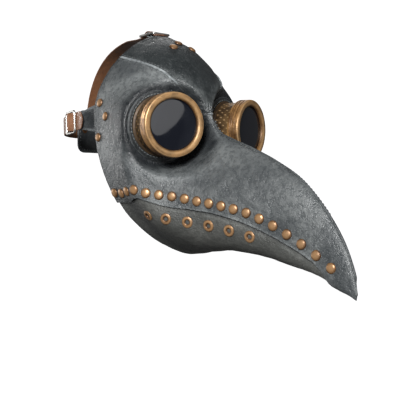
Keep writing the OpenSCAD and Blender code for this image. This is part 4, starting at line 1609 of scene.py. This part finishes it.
@dataclass
class Buckled:
    """What the side and the crown straps share: a tab, a slide buckle and a woven strap."""

    finishes: Finishes
    plane: Plane
    bar: tuple[float, float]
    word: str
    turn: float
    tip: float
    strap_width: float = 21.5
    strap_thickness: float = 1.6
    tab_thickness: float = 1.8
    buckle_length: float = 29.0
    buckle_rod: float = 2.6
    loop_clearance: float = 0.15
    loop_wall: float = 1.4
    weave_gap: float = 0.25
    side_gap: float = 0.4

    @property
    def rod(self) -> float:
        """Radius of the buckle's rod."""
        return self.buckle_rod / 2

    @property
    def half_buckle(self) -> float:
        """From the middle bar to an outer bar."""
        return self.buckle_length / 2 - self.rod

    @property
    def loop_radius(self) -> float:
        """Outer radius of the tab's loop round the middle bar."""
        return self.rod + self.loop_clearance + self.loop_wall

    @property
    def weave_low(self) -> float:
        """Level of the strap where it passes under the outer bars."""
        return -self.rod - self.weave_gap - self.strap_thickness / 2

    @property
    def weave_top(self) -> float:
        """Level of the strap over the middle bar."""
        return self.loop_radius + self.weave_gap + self.strap_thickness / 2

    @property
    def tab_line(self) -> float:
        """Level of the tab under the strap."""
        return self.weave_low - self.strap_thickness / 2 - self.weave_gap - self.tab_thickness / 2

    def placed(self, points: Sequence[Sequence[float]]) -> list[tuple[float, float]]:
        """Points drawn in the buckle's own plane, moved to the strap's drawing."""
        c, s = math.cos(math.radians(self.turn)), math.sin(math.radians(self.turn))
        return [(self.bar[0] + a * c - b * s, self.bar[1] + a * s + b * c) for a, b in points]

    def weave(self) -> list[tuple[float, float]]:
        """The strap's way from its free tip to behind the buckle, in the buckle's plane."""
        half, low = self.half_buckle, self.weave_low
        lead = [(a, low) for a in np.arange(-half - self.tip, -half - 1, 3)]
        over = [(a, low + (self.weave_top - low) * math.cos(math.pi / 2 * a / half) ** 2)
                for a in np.linspace(-half, half, 15)]
        return lead + over + [(half + self.rod + 2, low)]

    def loop(self) -> list[tuple[float, float]]:
        """The end of the tab, from under the front bar round the middle bar and back to the tab."""
        middle = self.loop_radius - self.loop_wall / 2
        ring = [(middle * math.cos(a), middle * math.sin(a)) for a in np.radians(np.arange(-75, 136, 15))]
        return [(-self.half_buckle + 0.5, self.tab_line),
                (-self.half_buckle / 2, (self.tab_line - middle) / 2 - 0.6),
                *ring, (-3.2, 0.2), (-4.6, -1.2), (-6.4, -2.0)]

    def straight_width(self, at: np.ndarray, length: float) -> np.ndarray:
        """The strap's width, with a rounded free tip."""
        tip = self.strap_width * 0.42
        lead = np.clip(at / tip, 0.0008, 1)
        return self.strap_width * np.sqrt(1 - (1 - lead) ** 2.3)

    def make_buckle(self) -> bpy.types.Object:
        """Make, dress and fit the slide buckle."""
        plane = self.plane.turned_at(self.plane.point(*self.bar), self.turn)
        obj = rod_frame(f"{self.word}_slide_buckle", plane, self.half_buckle,
                        self.strap_width / 2 + self.side_gap + self.rod, self.rod)
        dress(obj, self.finishes.nickel)
        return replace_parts(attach(obj, f"{self.word}_slider"), f"{self.word}_buckle")

    def make_strap(self, onwards: Sequence[Sequence[float]], give: float) -> bpy.types.Object:
        """Make and dress the whole strap.

        Args:
            onwards: The strap's way from behind the buckle to its sewn end.
            give: How far behind the buckle the bend would reach; it has no effect, as nothing bends the
                strap.

        Returns:
            The strap.
        """
        path = flowing([*self.placed(self.weave()), *onwards])
        obj = ribbon(f"{self.word}_harness_strap", self.plane, path, self.straight_width,
                     self.strap_thickness)
        dress(obj, self.finishes.strap)
        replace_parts(obj, f"{self.word}_strap", f"{self.word}_strap_end")
        bend = [(self.half_buckle + reach, self.weave_low) for reach in (self.rod, give)]
        start, end = self.placed(bend)
        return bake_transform(obj, f"{self.word}_slider", "mask", start=self.plane.point(*start) * MM,
                        end=self.plane.point(*end) * MM)

    def finish_tab(self, obj: bpy.types.Object) -> bpy.types.Object:
        """Dress and fit the tab."""
        dress(obj, self.finishes.trim)
        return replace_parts(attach(obj, "mask"), f"{self.word}_tab")


@dataclass
class SideHarness(Buckled):
    """The strap at one temple: its tab under the cheek, its buckle and the band round the head."""

    side_plane: float = 78.4
    leather: float = 2.5
    tab_sag: float = 2.3
    tab_width: float = 30.0
    tab_reach: float = 30.0
    head_back: float = 97.0
    head_middle: float = 10.0
    strap_end: float = 9.0

    @classmethod
    def at(cls, side: Side, joint: dict, finishes: Finishes) -> "SideHarness":
        """Lay out one side from its buckle's joint.

        Args:
            side: Right or left.
            joint: The record's joint of the buckle.
            finishes: The finishes.

        Returns:
            The harness of that side.
        """
        axis = np.asarray(joint["axis"], float) * side.value
        outwards = np.array([side.value, 0.0, 0.0])
        along = np.array([0.0, axis[2], -axis[1]])
        level = 12.0
        plane = Plane(np.array([0.0, 0.0, level]), along, outwards, axis)
        bar = plane.drawn(np.asarray(joint["pos_m"]) / MM)
        return cls(finishes, plane, bar, side.word, turn=-14.0, tip=18.0)

    def tab(self) -> bpy.types.Object:
        """The black tab, riveted under the cheek and looped round the middle bar."""
        inside = self.side_plane - self.leather - self.tab_sag - self.tab_thickness / 2
        near = self.placed([(-self.half_buckle - 3, self.tab_line)])
        path = flowing([(-self.tab_reach, inside), (-self.tab_reach / 2, inside), (0, inside),
                        (self.tab_reach / 2, inside + 0.6), *near, *self.placed(self.loop())], 1.0)
        front = self.bar[0] - self.half_buckle

        def width(at: np.ndarray, length: float) -> np.ndarray:
            """Wide under the cheek, then as wide as the strap."""
            from_start = (at - self.tab_reach - 4) / (front - 10)
            wide = self.tab_width + (self.strap_width - 0.6 - self.tab_width) * ease(from_start)
            return wide * np.sqrt(np.clip(at / 5, 0.001, 1))

        return self.finish_tab(ribbon(f"{self.word}_tab_leather", self.plane, path, width,
                                      self.tab_thickness))

    def build(self) -> list[bpy.types.Object]:
        """Make and fit the tab, the buckle and the strap."""
        angles = np.radians(np.linspace(48, 86, 16))
        head = [(self.head_middle + self.head_back * math.sin(a) ** 0.9,
                 (self.side_plane + 0.6) * math.cos(a) ** 0.7) for a in angles]
        onwards = [*self.placed([(self.half_buckle + self.rod + 6, self.weave_low - 0.2)]), *head,
                   (self.head_middle + self.head_back, self.strap_end)]
        return [self.tab(), self.make_buckle(), self.make_strap(onwards, 26.0)]


@dataclass
class CrownHarness(Buckled):
    """The strap over the crown, from the forehead to the patch behind the head."""

    shell: Shell | None = None
    sag: float = 2.7
    lay_gap: float = 0.4
    tab_width: float = 34.0
    back_line: float = 107.0
    top: float = 111.0
    strap_to: float = 80.8

    @classmethod
    def at(cls, joint: dict, finishes: Finishes, shell: Shell) -> "CrownHarness":
        """Lay out the crown strap from its buckle's joint."""
        right, back, up = np.eye(3)
        plane = Plane(np.zeros(3), back, up, right)
        bar = plane.drawn(np.asarray(joint["pos_m"]) / MM)
        return cls(finishes, plane, bar, "crown", turn=-2.0, tip=5.0, shell=shell)

    def tab(self) -> bpy.types.Object:
        """The black tab: a curved patch riveted under the forehead, and a shank looped round the bar."""
        shell = self.shell
        top = shell.leather + self.lay_gap

        def place(u: np.ndarray, v: np.ndarray) -> np.ndarray:
            """The patch under the forehead, wrapped round its middle."""
            t = 0.1 + 1.25 * u
            across, up = flat_oval(2 * np.pi * v)
            half = np.degrees(self.tab_width / 2 / shell.section(t)[:, 2])
            half = half * np.sqrt(np.clip((1 - u) / 0.12, 0, 1))
            return shell.skin(t, across * half, -top - self.tab_thickness / 2 * (1 - up))

        patch = shaped_grid("crown_patch", 30, 28, place)
        clean(patch)
        level = top + self.sag + self.tab_thickness / 2
        rows = np.array([0.6, 0.3, 0.03])
        under = [self.plane.drawn(p) for p in shell.skin(rows, 0 * rows, -level)]
        near = self.placed([(-self.half_buckle - 2, self.tab_line)])
        path = flowing([*under, *near, *self.placed(self.loop())], 1.0)
        shank = ribbon("crown_shank", self.plane, path,
                       lambda at, length: (self.strap_width - 0.6) + 0 * at, self.tab_thickness)
        obj = join([shank, patch], "crown_tab_leather")
        smooth(obj, 55)
        return self.finish_tab(obj)

    def build(self) -> list[bpy.types.Object]:
        """Make and fit the tab, the buckle and the strap."""
        over = [(self.back_line * math.sin(a) ** 0.85, self.top * math.cos(a) ** 0.85)
                for a in np.radians(np.linspace(9, self.strap_to, 25))]
        onwards = [*self.placed([(self.half_buckle + self.rod + 6, self.weave_low - 0.3)]), *over]
        return [self.tab(), self.make_buckle(), self.make_strap(onwards, 24.0)]


@dataclass
class BackPatch:
    """The leather patch behind the head that joins the straps, with its stitches and rivets."""

    finishes: Finishes
    studs: Studs
    size: float = 54.0
    corner: float = 10.0
    thickness: float = 2.5
    level: float = 5.0
    strap_face: float = 107.8
    patch_face: float = 103.4
    spots: Line = ((-17, 6), (17, 6), (0, 23.5))
    rivet_head: float = 9.0
    stitch_inset: float = 3.5
    stitches: int = 46

    def rim(self, inset: float, count: int) -> list[tuple[float, float, float]]:
        """Even points round the patch, inset from its edge, with the way ahead in radians."""
        core, radius = self.size / 2 - self.corner, self.corner - inset
        side, arc = 2 * core, math.pi / 2 * radius
        whole = 4 * (side + arc)
        found = []
        for k in range(count):
            at = k * whole / count
            corner_number = int(at // (side + arc))
            rest = at - corner_number * (side + arc)
            heading = corner_number * math.pi / 2
            if rest < side:
                x, z, way = rest - core, -core - radius, 0.0
            else:
                way = (rest - side) / radius
                x, z = core + radius * math.sin(way), -core - radius * math.cos(way)
            c, s = math.cos(heading), math.sin(heading)
            found.append((x * c - z * s, x * s + z * c, way + heading))
        return found

    def leather(self) -> bpy.types.Object:
        """The patch itself: a plate with round corners and soft, rubbed edges."""
        deselect_all()
        bpy.ops.mesh.primitive_plane_add(size=self.size * MM)
        patch = bpy.context.active_object
        patch.name = patch.data.name = "back_patch_leather"
        bpy.ops.object.mode_set(mode="EDIT")
        bpy.ops.mesh.select_all(action="SELECT")
        bpy.ops.mesh.bevel(offset=self.corner * MM, segments=8, affect="VERTICES")
        bpy.ops.mesh.select_all(action="SELECT")
        bpy.ops.mesh.inset(thickness=2.2 * MM)
        bpy.ops.mesh.inset(thickness=4 * MM)
        bpy.ops.mesh.select_all(action="SELECT")
        bpy.ops.mesh.extrude_region_move(TRANSFORM_OT_translate={"value": (0, 0, -self.thickness * MM)})
        bpy.ops.object.mode_set(mode="OBJECT")
        clean(patch)
        apply_modifier(patch, "BEVEL", width=0.7 * MM, segments=3, limit_method="ANGLE",
                       angle_limit=math.radians(60))
        points = points_of(patch)
        edge = self.size / 2 - np.maximum(np.abs(points[:, 0]), np.abs(points[:, 1]))
        paint(patch, "wear", 0.7 * np.exp(-edge / 1.2))
        set_down(patch, stand(np.array([0.0, self.patch_face, self.level]), np.array([0.0, 1.0, 0.0]),
                              np.array([1.0, 0.0, 0.0])))
        smooth(patch, 45)
        dress(patch, self.finishes.trim)
        return patch

    def thread(self) -> bpy.types.Object:
        """The stitches round the patch, on both of its faces."""
        places = [stand(np.array([x, face, z + self.level]), np.array([0.0, 1.0, 0.0]),
                        np.array([math.cos(way), 0.0, math.sin(way)]))
                  for face in (self.patch_face, self.patch_face - self.thickness)
                  for x, z, way in self.rim(self.stitch_inset, self.stitches)]
        thread = copies(bead((2.6, 0.8, 0.8)), places, "back_patch_stitches")
        dress_thread(thread, 0.4, self.finishes.thread)
        return thread

    def build(self) -> list[bpy.types.Object]:
        """Make and fit the patch, its stitches and its rivets."""
        patch, thread = self.leather(), self.thread()
        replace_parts(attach(patch, "mask"), "back_pad")
        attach(thread, "mask")
        rivet = self.studs.rivet(self.rivet_head, self.strap_face - self.patch_face + self.thickness)
        places = [stand(np.array([x, self.strap_face, z]), np.array([0.0, 1.0, 0.0]),
                        np.array([1.0, 0.0, 0.2])) for x, z in self.spots]
        return [patch, thread, self.studs.fit(copies(rivet, places, "back_studs"), "back_rivets")]


# ---------------------------------------------------------------------------
# Studio
# ---------------------------------------------------------------------------


@dataclass(frozen=True)
class Lamp:
    """A round soft lamp: its place and width in metres, and its power in watts."""

    name: str
    place: tuple[float, float, float]
    width: float
    power: float

    def hang(self, target: Vector) -> None:
        """Hang the lamp and turn it to a target."""
        data = bpy.data.lights.new(self.name, "AREA")
        data.shape = "DISK"
        data.size = self.width
        data.energy = self.power
        obj = bpy.data.objects.new(self.name, data)
        obj.location = self.place
        obj.rotation_euler = (target - Vector(self.place)).to_track_quat("-Z", "Y").to_euler()
        bpy.context.scene.collection.objects.link(obj)


@dataclass
class Studio:
    """A pale paper sweep, four soft lamps and the camera. All in metres."""

    floor: float = -0.36
    floor_radius: float = 2.4
    wall_radius: float = 3.4
    wall_height: float = 3.2
    sweep_steps: int = 10
    azimuth: float = -43.0
    camera_place: tuple[float, float, float] = (-0.703, -0.849, -0.082)
    lens: float = 82.5
    air: float = 0.1
    lit_place: tuple[float, float, float] = (0.0, -0.12, -0.03)
    lamps: tuple[Lamp, ...] = (
        Lamp("key_lamp", (-1.65, -1.35, 0.65), 0.7, 74.0),
        Lamp("front_lamp", (-0.2, -2.0, 0.5), 1.4, 6.5),
        Lamp("back_lamp", (0.9, 1.2, 1.4), 1.0, 5.0),
        Lamp("rear_lamp", (-0.5, 2.0, 0.1), 1.2, 12.0),
    )

    def sweep(self) -> bpy.types.Object:
        """The floor, curving up into a wall all round."""
        rise = self.wall_radius - self.floor_radius
        arc = [(self.floor_radius + rise * math.sin(a), rise * (1 - math.cos(a)))
               for a in np.linspace(0, math.pi / 2, self.sweep_steps)]
        profile = [(0.0, 0.0), *arc, (self.wall_radius, self.wall_height)]
        obj = turned("paper_sweep", [(r / MM, h / MM) for r, h in profile], 96, closed=False)
        obj.data.transform(Matrix.Translation((0, 0, self.floor)))
        smooth(obj, 60)
        dress(obj, Paper("studio_paper", tone(0.9, 0.9, 0.9), 0.9).material())
        obj.visible_diffuse = obj.visible_glossy = obj.visible_shadow = False
        return obj

    def build(self) -> None:
        """Lay the paper, hang the lamps and stand the camera."""
        self.sweep()
        for lamp in self.lamps:
            lamp.hang(Vector(self.lit_place))
        world = bpy.data.worlds.new("studio_air")
        world.use_nodes = True
        air = world.node_tree.nodes["Background"]
        air.inputs["Color"].default_value = (1.0, 1.0, 1.0, 1.0)
        air.inputs["Strength"].default_value = self.air
        bpy.context.scene.world = world
        data = bpy.data.cameras.new("studio_camera")
        data.lens = self.lens
        camera = bpy.data.objects.new("studio_camera", data)
        camera.location = self.camera_place
        camera.rotation_euler = (math.radians(90), 0, math.radians(self.azimuth))
        bpy.context.scene.collection.objects.link(camera)
        bpy.context.scene.camera = camera
        bpy.context.scene.view_settings.view_transform = "Standard"


def report(pieces: Iterable[bpy.types.Object]) -> None:
    """Log each finished piece with its size."""
    for piece in pieces:
        LOG.info("%s: %d faces", piece.name, len(piece.data.polygons))


def eye_from(joint: dict) -> Eye:
    """An eye's place, from the joint on which its bezel turns."""
    return Eye(np.asarray(joint["pos_m"], float) / MM, unit(np.asarray(joint["axis"], float)))


def main() -> None:
    """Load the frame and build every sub-assembly round it."""
    logging.basicConfig(level=logging.INFO, format="%(name)s: %(message)s")
    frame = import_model()
    joints = {joint["name"]: joint for joint in frame["joints"]}
    Studio().build()
    finishes = Finishes()
    eyes = {side: eye_from(joints[f"{side.word}_bezel_turn"]) for side in Side}
    shell, seams = Shell(eyes), Seams()
    report(LeatherPanels(shell, seams, finishes).build())
    report(Welts(shell, seams, finishes).build())
    for side in Side:
        report(Goggle(side, eyes[side], finishes).build(frame["nodes"]))
    studs = Studs(shell, seams, finishes)
    report(studs.build())
    for side in Side:
        report(SideHarness.at(side, joints[f"{side.word}_buckle_tilt"], finishes).build())
    report(CrownHarness.at(joints["crown_buckle_tilt"], finishes, shell).build())
    report(BackPatch(finishes, studs).build())


if __name__ == "__main__":
    main()
